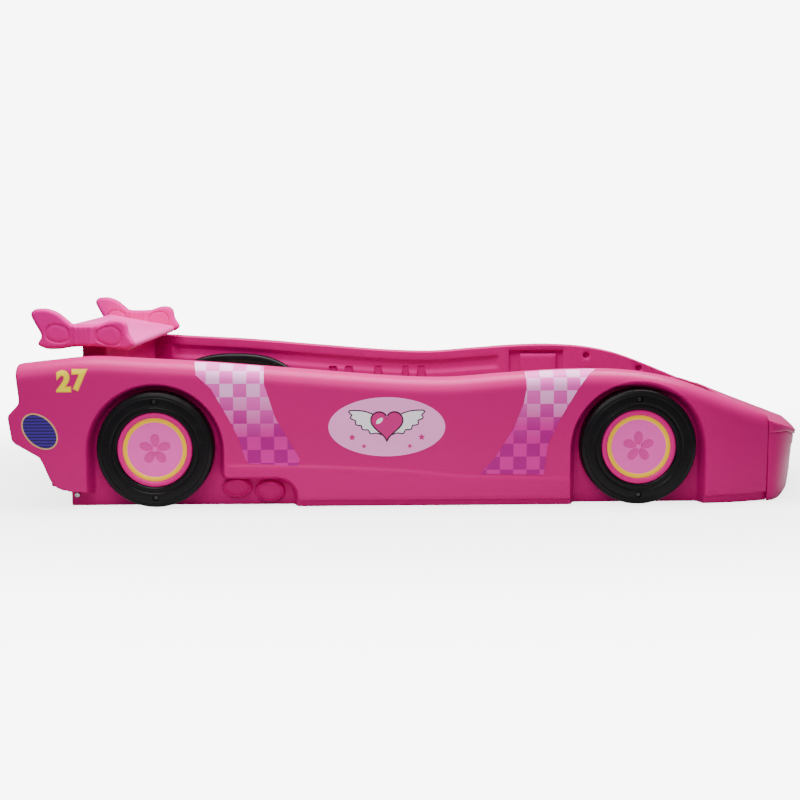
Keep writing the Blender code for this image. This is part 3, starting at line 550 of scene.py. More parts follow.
class Look:
    """One material and its node tree."""

    def __init__(self, name, **fixed):
        self.material = bpy.data.materials.new(name)
        self.material.use_nodes = True
        self.tree = self.material.node_tree
        self.shader = self.tree.nodes["Principled BSDF"]
        for socket, value in fixed.items():
            self.shader.inputs[socket.replace("_", " ")].default_value = value

    def node(self, kind, settings=None, inputs=None, output=0):
        """Add a node: its settings first, then its sockets' values or links. Returns one output."""
        made = self.tree.nodes.new(kind)
        for setting, value in (settings or {}).items():
            if setting == "stops":
                ramp = made.color_ramp
                while len(ramp.elements) < len(value):
                    ramp.elements.new(0.5)
                for element, (place, colour) in zip(ramp.elements, value):
                    element.position = place
                    element.color = colour
            else:
                setattr(made, setting, value)
        for socket, value in (inputs or {}).items():
            if isinstance(value, Value):
                self.tree.links.new(value.socket, made.inputs[socket])
            else:
                made.inputs[socket].default_value = value
        return Value(self, made.outputs[output])

    def place(self):
        """Object coordinates, which are the bed's own axes in metres."""
        return self.node("ShaderNodeTexCoord", output=3)

    def split(self, vector):
        """A vector's X, Y and Z as three values."""
        first = self.node("ShaderNodeSeparateXYZ", {}, {0: vector})
        return [Value(self, output) for output in first.socket.node.outputs]

    def axes(self):
        """The place's X, Y and Z as three values."""
        return self.split(self.place())

    def noise(self, scale, detail=2.0, roughness=0.5, stretch=None):
        """Noise in the bed's own axes, with scale in cells for each metre."""
        place = self.place()
        if stretch:
            place = self.node("ShaderNodeMapping", {}, {"Vector": place, "Scale": stretch})
        inputs = {"Vector": place, "Scale": scale, "Detail": detail, "Roughness": roughness}
        return self.node("ShaderNodeTexNoise", {}, inputs)

    def mix(self, share, first, second):
        """A colour mix."""
        settings = {"data_type": "RGBA", "clamp_factor": True}
        return self.node("ShaderNodeMix", settings, {0: share, 6: first, 7: second}, output=2)

    def bump(self, height, distance_m, strength=1.0):
        """A normal from a height."""
        inputs = {"Height": height, "Distance": distance_m, "Strength": strength}
        return self.node("ShaderNodeBump", {}, inputs)

    def set(self, **links):
        """Link or set the shader's sockets."""
        for socket, value in links.items():
            target = self.shader.inputs[socket.replace("_", " ")]
            if isinstance(value, Value):
                self.tree.links.new(value.socket, target)
            else:
                target.default_value = value
        return self.material


def rgba(colour, gain=1.0):
    """A colour with full alpha, made lighter or darker."""
    return (*(min(channel * gain, 1.0) for channel in colour[:3]), 1.0)


def moulded_plastic(name, colour, roughness=0.34, shine=0.22, grain=0.00005, mottle=0.06):
    """Satin blow-moulded plastic: fine pebble grain, faint flow marks and soft scuffs."""
    tint = [0.35 + 0.65 * channel / max(colour) for channel in colour[:3]]
    look = Look(name, Specular_IOR_Level=shine, Specular_Tint=rgba(tint))
    cloud = look.noise(3.0, 3.0)
    flow = look.noise(9.0, 4.0, 0.6, (0.25, 1.0, 2.2))
    pebble = look.noise(900.0, 2.0, 0.6)
    waves = look.noise(14.0, 2.0)
    shade = (cloud - 0.5) * (2.0 * mottle) + (flow - 0.5) * mottle + 0.5
    base = look.mix(shade, rgba(colour, 0.90), rgba(colour, 1.10))
    scuff = look.noise(40.0, 5.0, 0.7).step(0.62, 0.80)
    rough = flow * 0.10 + (scuff * 0.12) + (roughness - 0.05)
    height = pebble * 0.5 + waves * 6.0
    return look.set(Base_Color=base, Roughness=rough, Normal=look.bump(height, grain))


def black_rubbery_plastic(name, colour):
    """Black moulded plastic with a fine grain and a little dust."""
    look = Look(name, Specular_IOR_Level=0.14)
    dust = look.noise(22.0, 6.0, 0.65).step(0.45, 0.85)
    pebble = look.noise(1100.0, 2.0, 0.6)
    base = look.mix(dust * 0.35, rgba(colour), rgba((0.012, 0.011, 0.012)))
    return look.set(Base_Color=base, Roughness=dust * 0.16 + 0.30, Normal=look.bump(pebble, 0.00006))


def zinc_steel(name, shade):
    """Dull plated steel."""
    look = Look(name, Metallic=1.0)
    flecks = look.noise(700.0, 3.0)
    base = look.mix(flecks, rgba((0.72, 0.72, 0.76), shade), rgba((1.0, 1.0, 1.0), shade))
    return look.set(Base_Color=base, Roughness=flecks * 0.2 + 0.25)


def slat_wood(name, colour):
    """Pale planed wood with grain along the slat."""
    look = Look(name)
    rings = look.noise(26.0, 5.0, 0.6, (4.0, 0.25, 4.0))
    pores = look.noise(420.0, 3.0, 0.6, (3.0, 0.08, 3.0))
    tone = look.mix(rings.step(0.30, 0.70), rgba(colour, 0.72), rgba(colour, 1.12))
    base = look.mix(pores.step(0.56, 0.72) * 0.5, tone, rgba(colour, 0.50))
    height = rings + pores * 0.6
    return look.set(Base_Color=base, Roughness=pores * 0.15 + 0.48, Normal=look.bump(height, 0.0002))


def vinyl(name, colour, second=None, mix=0.0):
    """Printed vinyl sticker with a faint print grain; mix may fade to a second colour over its height."""
    look = Look(name, Specular_IOR_Level=0.15)
    grain = look.noise(1400.0, 2.0)
    blotch = look.noise(30.0, 3.0)
    base = look.mix(blotch * 0.5 + grain * 0.3, rgba(colour, 0.93), rgba(colour, 1.05))
    if second:
        _, _, up = look.axes()
        base = look.mix(up.step(*mix), rgba(second), base)
    return look.set(Base_Color=base, Roughness=blotch * 0.1 + 0.30)


def check_vinyl(name, tint, start):
    """Checks that fade from pale at the top to strong at the foot, each square a little different."""
    size = sizes().check_size
    look = Look(name, Specular_IOR_Level=0.15)
    along, up, _ = look.split(look.node("ShaderNodeTexCoord", output=2))
    column = ((along - start[0]) / size).math("FLOOR")
    row = ((up - start[1]) / size).math("FLOOR")
    check = (column + row).mod(2.0)
    cell = look.node("ShaderNodeCombineXYZ", {}, {0: column, 1: row})
    odd = look.node("ShaderNodeTexWhiteNoise", {"noise_dimensions": "3D"}, {0: cell})
    fade = (up + (odd - 0.5) * 0.05).step(tint.check_foot_z, tint.check_top_z)
    pale = look.mix(fade, rgba(tint.check_pale_foot), rgba(tint.check_pale_top))
    strong = look.mix(fade, rgba(tint.check_strong_foot), rgba(tint.check_strong_top))
    grain = look.noise(60.0, 3.0)
    base = look.mix(check, pale, strong)
    return look.set(Base_Color=base, Roughness=grain * 0.1 + 0.30)


def louvre_vinyl(name, dark, light, pitch):
    """Dark printed louvres: thin dark lines across a blue ground."""
    look = Look(name, Specular_IOR_Level=0.15)
    _, _, up = look.axes()
    line = (up / pitch).mod(1.0)
    stripe = line.step(0.10, 0.30) * (1.0 - line.step(0.60, 0.80))
    grain = look.noise(300.0, 3.0)
    base = look.mix(stripe * 0.9 + grain * 0.1, rgba(dark), rgba(light))
    return look.set(Base_Color=base, Roughness=grain * 0.1 + 0.32)


# ---- What a user may change ----------------------------------------------------------------------
def colour_property(name, default, description):
    """A colour setting."""
    return bpy.props.FloatVectorProperty(
        name=name, description=description, default=default, subtype="COLOR", size=3, min=0.0, max=1.0
    )


def length_property(name, default, description):
    """A length setting in metres."""
    return bpy.props.FloatProperty(
        name=name, description=description, default=default, unit="LENGTH", min=0.0
    )


class BedColours(bpy.types.PropertyGroup):
    """Colours of the bed's plastics and stickers."""

    body: colour_property("Body", (0.515, 0.005, 0.156), "Moulded body panels")
    # The inner walls are the same pink plastic as the body; this darker colour is painted shade for the light
    # they lack.
    inner: colour_property("Inner walls", (0.330, 0.001, 0.100), "Inner walls round the mattress")
    bow: colour_property("Bows", (0.660, 0.001, 0.240), "Bow-shaped end plates")
    wing: colour_property("Wing", (0.860, 0.060, 0.400), "Spoiler wing")
    hub: colour_property("Hub rim", (0.620, 0.006, 0.190), "Outer rim of the hub caps")
    hub_disc: colour_property("Hub disc", (0.920, 0.100, 0.500), "Middle of the hub caps")
    hub_mark: colour_property("Hub flower", (0.720, 0.050, 0.340), "Moulded flower of the hub caps")
    hub_ring: colour_property("Hub ring", (0.980, 0.540, 0.010), "Ring between rim and disc")
    black: colour_property("Black plastic", (0.005, 0.004, 0.005), "Tyres and covers")
    number: colour_property("Race number", (0.990, 0.780, 0.006), "Race number")
    outline: colour_property("Number outline", (0.950, 0.430, 0.030), "Thin edge of the race number")
    badge: colour_property("Badge", (0.950, 0.330, 0.700), "Oval side badge")
    badge_mark: colour_property("Badge mark", (0.560, 0.020, 0.200), "Heart on the side badge")
    badge_white: colour_property("Badge white", (0.860, 0.820, 0.860), "Wings on the side badge")
    badge_line: colour_property("Badge line", (0.030, 0.014, 0.026), "Dark outlines on the side badge")
    vent_ring: colour_property("Vent ring", (0.640, 0.380, 0.170), "Ring of the printed vent")
    vent_light: colour_property("Vent", (0.060, 0.025, 0.300), "Printed vent")
    vent_dark: colour_property("Vent lines", (0.020, 0.010, 0.070), "Dark lines of the printed vent")
    check_pale_top: colour_property("Pale check, top", (0.980, 0.450, 0.860), "Pale squares at the rim")
    check_pale_foot: colour_property("Pale check, foot", (0.620, 0.010, 0.290), "Pale squares at the sill")
    check_strong_top: colour_property("Strong check, top", (0.900, 0.120, 0.560), "Strong squares at the rim")
    check_strong_foot: colour_property("Strong check, foot", (0.380, 0.001, 0.200), "Strong ones at the sill")
    check_top_z: length_property("Checks pale above", 0.400, "Height where the checks are palest")
    check_foot_z: length_property("Checks strong below", 0.190, "Height where the checks are strongest")
    lamp: colour_property("Lamp", (0.620, 0.620, 0.650), "Lamp panels")
    wood: colour_property("Slats", (0.640, 0.440, 0.260), "Wooden slats")


class BedSizes(bpy.types.PropertyGroup):
    """Sizes of the bed's fine detail."""

    mesh_spacing: length_property("Mesh spacing", 0.014, "Distance between free mesh points on the panels")
    wall: length_property("Wall", 0.003, "Wall of the side panels' skins")
    nose_wall: length_property("Nose wall", 0.004, "Wall of the hood, the lamps and the grille")
    bumper_wall: length_property("Bumper wall", 0.014, "Wall of the bumper, whose rim meets the side panels")
    edge_radius: length_property("Edge radius", 0.005, "Rounding of the panels' outer edges")
    crease_depth: length_property("Crease depth", 0.007, "How far the door turns under above its sill")
    sticker_lift: length_property("Sticker lift", 0.0004, "How far the stickers stand off the panels")
    check_size: length_property("Check size", 0.0384, "Side of one check")
    number_height: length_property("Number height", 0.060, "Height of the race number")
    slat_rounding: length_property("Slat rounding", 0.003, "Rounding of the slats' edges")


def sizes():
    """The size settings."""
    return bpy.context.scene.bed_sizes


def colours():
    """The colour settings."""
    return bpy.context.scene.bed_colours


FINISHES = {}
LOUVRE_PITCH = 0.0091
CHECK_START = {"rear": (-0.593, 0.168), "front": (0.365, 0.259)}  # a corner where four checks meet


def finish(name):
    """The named finish, made when it is first asked for."""
    if name not in FINISHES:
        tint = colours()
        recipes = {
            "body": lambda: moulded_plastic("body_pink", tint.body),
            # Inner walls: the body's plastic in a darker colour, as painted shade.
            "inner": lambda: moulded_plastic("inner_wall_painted_shade_pink", tint.inner, 0.40, 0.10),
            "bow": lambda: moulded_plastic("bow_pink", tint.bow, 0.32, 0.12),
            "wing": lambda: moulded_plastic("wing_light_pink", tint.wing, 0.30),
            "hub": lambda: moulded_plastic("hub_rim_pink", tint.hub, 0.30),
            "hub_disc": lambda: moulded_plastic("hub_disc_lilac", tint.hub_disc, 0.36),
            "hub_mark": lambda: moulded_plastic("hub_mark_pink", tint.hub_mark, 0.36),
            "hub_ring": lambda: moulded_plastic("hub_ring_yellow", tint.hub_ring, 0.34),
            "black": lambda: black_rubbery_plastic("black_plastic", tint.black),
            "steel": lambda: zinc_steel("zinc_steel", 0.75),
            # Near-black steel for the wheel bolts: partly a dark screw, partly painted shade of the wells they
            # sit in.
            "dark_steel_and_painted_shade": lambda: zinc_steel("blackened_steel_and_painted_shade", 0.07),
            "wood": lambda: slat_wood("slat_wood", tint.wood),
            "lamp": lambda: moulded_plastic("lamp_grey", tint.lamp, 0.22),
            "number": lambda: vinyl("number_yellow", tint.number),
            "outline": lambda: vinyl("number_edge", tint.outline),
            "badge": lambda: vinyl("badge_pale", tint.badge),
            "badge_mark": lambda: vinyl("badge_heart", tint.badge_mark),
            "badge_white": lambda: vinyl("badge_white", tint.badge_white),
            "badge_line": lambda: vinyl("badge_line", tint.badge_line),
            "vent_ring": lambda: vinyl("vent_ring", tint.vent_ring),
            "vent": lambda: louvre_vinyl("vent_louvres", tint.vent_dark, tint.vent_light, LOUVRE_PITCH),
            "checks_rear": lambda: check_vinyl("checks_rear", tint, CHECK_START["rear"]),
            "checks_front": lambda: check_vinyl("checks_front", tint, CHECK_START["front"]),
        }
        FINISHES[name] = recipes[name]()
    return FINISHES[name]


# ---- The side panels' skin -----------------------------------------------------------------------
def face_height(x):
    """Where the upright face ends and the rolled shoulder starts."""
    return rim_height(x) - SHOULDER_RADIUS


def shoulder_width(x):
    """How far the rolled shoulder reaches inward."""
    return min(SHOULDER_RADIUS, 0.62 * (half_width(x) - INNER_Y))


ROLL_LENGTH = 0.5 * math.pi * SHOULDER_RADIUS
LIP_RADIUS = 0.006
LIP_LENGTH = 0.5 * math.pi * LIP_RADIUS


def flange_length(x):
    """How far the panel's top runs level, between the rolled shoulder and the lip over the inner wall."""
    return half_width(x) - shoulder_width(x) - INNER_Y - LIP_RADIUS


def skin_end(x):
    """The unrolled length of the panel's section, from the floor to the lip's end."""
    return face_height(x) + ROLL_LENGTH + flange_length(x) + LIP_LENGTH


def crease_height(x):
    """The line where the door's wall meets its sill."""
    return smooth_value([(-0.70, 0.128), (-0.36, 0.125), (-0.06, 0.110), (0.12, 0.093), (0.50, 0.084)], x)


def door_profile(x, s):
    """How far the upright face lies behind the body's full width at one place."""
    door = float(ease(-0.66, -0.52, x) * (1.0 - ease(0.36, 0.46, x)))
    crease = crease_height(x)
    turn_under = float(1.0 - ease(crease, crease + 0.13, s)) if s > crease else 1.0
    sill = float(1.0 - ease(crease - 0.010, crease, s))
    depth = sizes().crease_depth * (turn_under - 0.75 * sill)
    lean = 0.004 * (1.0 - min(s / 0.34, 1.0)) ** 2
    return door * depth + (1.0 - door) * lean


def skin_base(x, s):
    """A point of the smooth side skin, and its outward direction in the section."""
    width = half_width(x)
    face = face_height(x)
    reach = shoulder_width(x)
    if s <= face:
        return (x, width - door_profile(x, s), s), (1.0, 0.0)
    turn = (s - face) / ROLL_LENGTH * 0.5 * math.pi
    if turn <= 0.5 * math.pi:
        y = width - reach + reach * math.cos(turn)
        return (x, y, face + SHOULDER_RADIUS * math.sin(turn)), (math.cos(turn), math.sin(turn))
    beyond = s - face - ROLL_LENGTH
    top = face + SHOULDER_RADIUS
    if beyond <= flange_length(x):
        return (x, width - reach - beyond, top), (0.0, 1.0)
    turn = (beyond - flange_length(x)) / LIP_RADIUS
    y = INNER_Y + LIP_RADIUS * (1.0 - math.sin(turn))
    return (x, y, top - LIP_RADIUS * (1.0 - math.cos(turn))), (-math.sin(turn), math.cos(turn))


def tail_edge():
    """The tail fin's outline from the rim down to the floor, its corners slightly rounded."""
    top = skin_end(TAIL_FIN[0][0])
    corners = [(TAIL_FIN[0][0], top)] + TAIL_FIN + [(TAIL_FIN[-1][0], 0.0)]
    radii = [0.0, 0.008, 0.012, 0.010, 0.016, 0.006, 0.006, 0.012, 0.020, 0.010, 0.010, 0.0, 0.0]
    points = [corners[0]]
    for index in range(1, len(corners) - 1):
        points += rounded_corner(*corners[index - 1 : index + 2], radii[index], 4)
    return points + [corners[-1]]


def shell_outline():
    """The side skin's flat outline: along the floor, up the seam, back along the flange, down the tail."""
    front = SEAM_X
    top = [(x, skin_end(x)) for x in spread(front, TAIL_FIN[0][0], 60)]
    return [(TAIL_FIN[-1][0], 0.0), (front, 0.0)] + top[:-1] + tail_edge()[:-1]


def well_path(x):
    """A wheel arch's outline, open below the floor."""
    half_circle = arc((x, WELL_CENTRE_Z), WELL_RADIUS, 0.0, 180.0, 72)
    return [(x - WELL_RADIUS, -0.08), (x + WELL_RADIUS, -0.08)] + half_circle


def rear_well_path():
    """The rear arch together with the notch for the side pipes."""
    x = WHEEL_X["rear"]
    edge = x + WELL_RADIUS
    start = math.degrees(math.asin((NOTCH_TOP_Z + 0.014 - WELL_CENTRE_Z) / WELL_RADIUS))
    sweep = arc((x, WELL_CENTRE_Z), WELL_RADIUS, max(start, 0.0), 180.0, 72)
    radius = 0.058
    corner = (NOTCH_END_X - radius, NOTCH_TOP_Z - radius)
    join = arc((edge + 0.014, NOTCH_TOP_Z + 0.014), 0.014, 180.0, 270.0, 6)[::-1]
    end = arc(corner, radius, 0.0, 90.0, 12)
    return [(x - WELL_RADIUS, -0.08), (NOTCH_END_X, -0.08)] + end + join + sweep


def plinth_path():
    """The recessed strip along the floor, a little higher ahead of the front wheel."""
    rear = WHEEL_X["rear"]
    corners = [(rear, -0.08), (SEAM_X + 0.05, -0.08), (SEAM_X + 0.05, PLINTH_HEIGHT + 0.008)]
    return corners + [(0.86, PLINTH_HEIGHT + 0.006), (0.45, PLINTH_HEIGHT), (rear, PLINTH_HEIGHT)]


def foot_path():
    """The foot behind the rear wheel, sunk as deep as the wheel well under the tail fin."""
    rear, front = TAIL_FIN[-1][0] - 0.04, WHEEL_X["rear"]
    edge = [(front, FOOT_HEIGHT - 0.006), (rear + 0.09, FOOT_HEIGHT), (rear, FOOT_HEIGHT + 0.003)]
    return [(rear, -0.08), (front, -0.08)] + edge


def edge_drop(flat, path, radius):
    """How far a rounded outer edge has dropped near an open path."""
    reach = np.clip(radius - distance(flat, path, closed=False), 0.0, radius)
    return radius - np.sqrt(np.maximum(radius**2 - reach**2, 0.0))


def place_on_side(flat, depth):
    """Put flat points of the side skin in space, sunk by their depth."""
    edges = [(SEAM_X, skin_end(SEAM_X)), (SEAM_X, 0.0), (TAIL_FIN[-1][0], 0.0)] + tail_edge()[::-1]
    drop = edge_drop(flat, edges, sizes().edge_radius)
    points = []
    for (x, s), sunk, fallen in zip(flat, depth, drop):
        (px, py, pz), (ny, nz) = skin_base(float(x), float(s))
        inward = sunk + fallen
        points.append((px, py - ny * inward, pz - nz * inward))
    return points


def build_side_shell():
    """The outer skin of the left side panel, and its twin."""
    settings = sizes()
    wells = WELL_FLOOR_Y - GAP
    depth = BODY_HALF_WIDTH - wells
    recesses = [
        Recess(rear_well_path(), depth, 0.006, 0.006),
        Recess(well_path(WHEEL_X["front"]), depth, 0.006, 0.006),
        Recess(plinth_path(), PLINTH_DEPTH, 0.003, 0.002),
        Recess(foot_path(), depth, 0.003, 0.003),
    ]
    rounding = settings.edge_radius
    outline = shell_outline()
    inner_edges = [(offset_path(outline, -share * rounding), True) for share in (0.12, 0.35, 0.65, 1.0)]
    crease = [(x, crease_height(x)) for x in spread(-0.57, 0.41, 40)]
    lines = [([(x, z + rise) for x, z in crease], False) for rise in (-0.010, -0.005, 0.0, 0.008)]
    rolls = []
    rows = [(0.0, share * ROLL_LENGTH) for share in spread(0.0, 1.0, 11)]
    rows += [(1.0, share * LIP_LENGTH) for share in spread(0.0, 0.8, 4)]
    for on_lip, rise in rows:
        path = []
        for x in spread(TAIL_FIN[0][0] + 0.004, SEAM_X - 0.002, 90):
            path.append((x, face_height(x) + on_lip * (ROLL_LENGTH + flange_length(x)) + rise))
        rolls.append((path, False))

    def to_liner(point):
        return Vector((point.x, INNER_Y, point.z))

    shell = skin(
        "side_shell", outline, recesses, place_on_side, to_liner, (0.0, 1.0, 0.0), finish("body"),
        spacing=settings.mesh_spacing, guides=inner_edges + lines + rolls,
    )
    thicken(shell, settings.wall)
    return both_sides(shell, "side_shell")


# ---- The inner walls -----------------------------------------------------------------------------
CHANNEL_X = (-0.880, 0.305)
CHANNEL_DROP = 0.036
CHANNEL_HEIGHT = 0.042
CHANNEL_DEPTH = 0.007
POCKETS = [(-0.300, 0.030), (-0.242, 0.030), (-0.135, 0.030), (-0.035, 0.026), (0.023, 0.032)]
POCKET_TOP_Z = 0.318
POCKET_HEIGHT = 0.090
POCKET_DEPTH = 0.010
BAY_X = (0.345, 0.543)
BAY_Z = (0.200, 0.370)
BLOCK_X = (0.385, 0.517)
BLOCK_TOP_Z = 0.356
EMPTY_HOLES = [(0.628, 0.350), (0.822, 0.302)]
EMPTY_HOLE_RADIUS = 0.011
PIPES = [(-0.551, 0.052, 0.041, 0.026), (-0.456, 0.041, 0.041, 0.031)]  # x, z, half length, half height
PIPE_PROFILE = [  # how far out from the oval, and how proud of the notch's floor
    (0.004, -0.002), (0.0015, 0.001), (0.0, 0.008), (-0.0010, 0.0115), (-0.0030, 0.0125),
    (-0.0048, 0.0110), (-0.0060, 0.0050), (-0.0090, 0.0030), (-0.0200, 0.0022),
]


def channel_path():
    """The long shallow channel under the inner wall's rim."""
    top = [(x, rim_height(x) - CHANNEL_DROP) for x in spread(*CHANNEL_X, 24)]
    foot = [(x, z - CHANNEL_HEIGHT) for x, z in reversed(top)]
    return top + foot


def inner_wall_recesses():
    """Everything that is sunk into the inner wall."""
    recesses = [Recess(channel_path(), CHANNEL_DEPTH, 0.006, 0.006)]
    for x, length in POCKETS:
        low, high = x - 0.5 * length, x + 0.5 * length
        foot = POCKET_TOP_Z - POCKET_HEIGHT
        corners = [(low, foot), (high, foot), (high, POCKET_TOP_Z), (low, POCKET_TOP_Z)]
        recesses.append(Recess(rounded_path(corners, 0.006), POCKET_DEPTH, 0.003, 0.002))
    low, high = BAY_Z
    corners = [(BAY_X[0], low), (BLOCK_X[0], low), (BLOCK_X[0], BLOCK_TOP_Z), (BLOCK_X[1], BLOCK_TOP_Z)]
    corners += [(BLOCK_X[1], low), (BAY_X[1], low), (BAY_X[1], high), (BAY_X[0], high)]
    recesses.append(Recess(rounded_path(corners, 0.006), POCKET_DEPTH, 0.0025, 0.0025))
    ring = [(0.603, 0.283), (0.707, 0.262), (0.707, 0.284), (0.655, 0.305), (0.603, 0.300)]
    recesses.append(Recess(rounded_path(ring, 0.008), 0.004, 0.004, 0.003))
    for x, z in EMPTY_HOLES:
        recesses.append(Recess(arc((x, z), EMPTY_HOLE_RADIUS, 0.0, 345.0, 23), POCKET_DEPTH, 0.002, 0.001))
    return recesses


def build_pipes():
    """The two oval side-pipe mouths in the notch behind each rear wheel."""
    pieces = []
    circle = arc((0.0, 0.0), 1.0, 0.0, 355.0, 71)
    for number, (x, z, long, high) in enumerate(PIPES, 1):
        made = bmesh.new()
        rings = []
        for grow, proud in PIPE_PROFILE:
            y = WELL_FLOOR_Y + proud
            rings.append([(x + (long + grow) * across, y, z + (high + grow) * up) for across, up in circle])
        loops = loft(made, rings, capped=False)
        made.faces.new(loops[-1])
        name = f"side_pipe_{number}_left"
        pipe = from_bmesh(name, made, finish("body"), sharp=60.0, facing=(0.0, 1.0, 0.0))
        for piece in (pipe, mirror_copy(pipe, f"side_pipe_{number}_right")):
            pieces.append(piece)
    return pieces


def build_side_liner():
    """The moulded inner wall of the left side panel, and its twin."""
    front = LINER_HIGH.x
    top = [(x, rim_height(x) - LIP_RADIUS) for x in spread(front, LINER_LOW.x, 70)]
    outline = [(LINER_LOW.x, 0.0), (front, 0.0)] + top
    ledge = [(LINER_LOW.x, 0.165), (front, 0.150)]

    def place(flat, depth):
        sunk = 0.0035 * (1.0 - ease(0.142, 0.166, flat[:, 1]))
        return [(x, INNER_Y + d, z) for (x, z), d in zip(flat, depth + sunk)]

    def to_back(point):
        return Vector((point.x, LINER_HIGH.y, point.z))

    guides = [(ledge, False), ([(x, z - 0.024) for x, z in ledge], False)]
    liner = skin(
        "side_liner", outline, inner_wall_recesses(), place, to_back, (0.0, -1.0, 0.0), finish("inner"),
        spacing=0.016, guides=guides,
    )
    return both_sides(liner, "side_liner")


def build_housing_cover():
    """The arched black cover beside the rear wheel on the left inner wall, and its twin."""
    middle = 0.5 * (COVER_LOW.x + COVER_HIGH.x)
    reach = COVER_HIGH.x - middle
    outline = []
    for angle in spread(0.0, math.pi, 61):
        along = abs(math.cos(angle)) ** 0.8 * (1.0 if math.cos(angle) >= 0.0 else -1.0)
        rise = (COVER_HIGH.z - COVER_LOW.z) * math.sin(angle) ** 0.8
        outline.append((middle + reach * along, COVER_LOW.z + rise))
    radius = 0.010
    border = offset_path(outline, -0.026)
    ribs = []
    for x in spread(middle - 0.20, middle + 0.20, 9):
        corners = [(x - 0.008, 0.15), (x + 0.008, 0.15), (x + 0.008, 0.30), (x - 0.008, 0.30)]
        if all(signed_distance([corner], border)[0] < -0.012 for corner in corners):
            ribs.append(Recess(rounded_path(corners, 0.007), 0.0055, 0.002, 0.002))

    def place(flat, depth):
        drop = edge_drop(flat, outline, radius)
        return [(x, COVER_LOW.y + d, z) for (x, z), d in zip(flat, depth + drop)]

    def to_wall(point):
        return Vector((point.x, COVER_HIGH.y, point.z))

    guides = [(offset_path(outline, -share * radius), True) for share in (0.12, 0.4, 0.7, 1.0)]
    recesses = [Recess(border, 0.003, 0.003, 0.003)] + ribs
    cover = skin(
        "wheel_housing_cover", outline, recesses, place, to_wall, (0.0, -1.0, 0.0), finish("black"),
        guides=guides,
    )
    return both_sides(cover, "wheel_housing_cover")


# ---- Wheels --------------------------------------------------------------------------------------
def cut_with(obj, *tools):
    """Cut closed tools out of an object."""
    for tool in tools:
        modifier = obj.modifiers.new("cut", "BOOLEAN")
        modifier.operation = "DIFFERENCE"
        modifier.solver = "EXACT"
        modifier.object = tool
        bake(obj)
        bpy.data.objects.remove(tool)
    obj.data.shade_smooth()
    obj.data.set_sharp_from_angle(angle=math.radians(35.0))
    return obj


def rod_y(centre, radius, low, high, segments=24):
    """A closed cylinder along Y, to cut with."""
    made = bmesh.new()
    ring = arc(centre, radius, 0.0, 360.0 * (1.0 - 1.0 / segments), segments - 1)
    loft(made, [[(x, y, z) for x, z in ring] for y in (low, high)])
    return from_bmesh("tool", made)


def rounded_profile(corners, radius):
    """An open (radius, y) profile with its inner corners rounded."""
    made = [corners[0]]
    for before, here, after in zip(corners, corners[1:], corners[2:]):
        made += rounded_corner(before, here, after, radius, 3)
    return made + [corners[-1]]


def build_tyre(end):
    """One left tyre: rounded shoulders, a ribbed sidewall, wear marks and bolt wells; and its twin."""
    x = WHEEL_X[end]
    face = WHEEL_FACE_Y
    back = WELL_FLOOR_Y
    bore = HUB_RADIUS + GAP
    tread = []
    for y in spread(back + 0.010, face - 0.016, 3):
        tread += [(WHEEL_RADIUS, y - 0.002), (WHEEL_RADIUS - 0.003, y), (WHEEL_RADIUS, y + 0.002)]
    side = [
        (WHEEL_RADIUS, face - 0.013), (WHEEL_RADIUS - 0.004, face - 0.0045),
        (WHEEL_RADIUS - 0.012, face - 0.0008), (0.1525, face - 0.0004), (0.1505, face - 0.0018),
        (0.1485, face - 0.0002), (0.128, face), (0.1255, face - 0.0028), (0.1225, face - 0.0028),
        (0.1205, face - 0.0008), (bore + 0.004, face - 0.0010), (bore, face - 0.005), (bore, back),
    ]
    made = bmesh.new()
    profile = rounded_profile([(bore, back), (WHEEL_RADIUS, back)] + tread + side, 0.0016)
    turned(made, profile, (x, WHEEL_Z), 128)
    tyre = from_bmesh("tyre", made, finish("black"), sharp=50.0)
    for z in (WHEEL_Z + BOLT_CIRCLE, WHEEL_Z - BOLT_CIRCLE):
        cut_with(tyre, rod_y((x, z), 0.0092, face - BOLT_SINK, face + 0.01))
    for angle in (6.0, 174.0):
        turn = math.radians(angle)
        spot = (x + BOLT_CIRCLE * math.cos(turn), WHEEL_Z + BOLT_CIRCLE * math.sin(turn))
        lean = Matrix.Rotation(math.radians(-25.0 if angle < 90.0 else 25.0), 4, "Y")
        mark = bmesh.new()
        add_box(mark, (-0.006, -0.004, -0.0012), (0.006, 0.004, 0.0012))
        mark.transform(Matrix.Translation((spot[0], face + 0.002, spot[1])) @ lean)
        cut_with(tyre, from_bmesh("tool", mark))
    return both_sides(tyre, f"tyre_{end}")


def petal(centre, angle, length, width):
    """One petal's outline, pointing away from a centre."""
    turn = math.radians(angle)
    points = []
    for step in range(28):
        phase = 2.0 * math.pi * step / 28
        along = 0.5 * length * (1.0 - math.cos(phase)) + 0.006
        across = 0.5 * width * math.sin(phase) * (0.75 + 0.25 * (1.0 - math.cos(phase)) / 2.0)
        x = along * math.cos(turn) - across * math.sin(turn)
        z = along * math.sin(turn) + across * math.cos(turn)
        points.append((centre[0] + x, centre[1] + z))
    return points


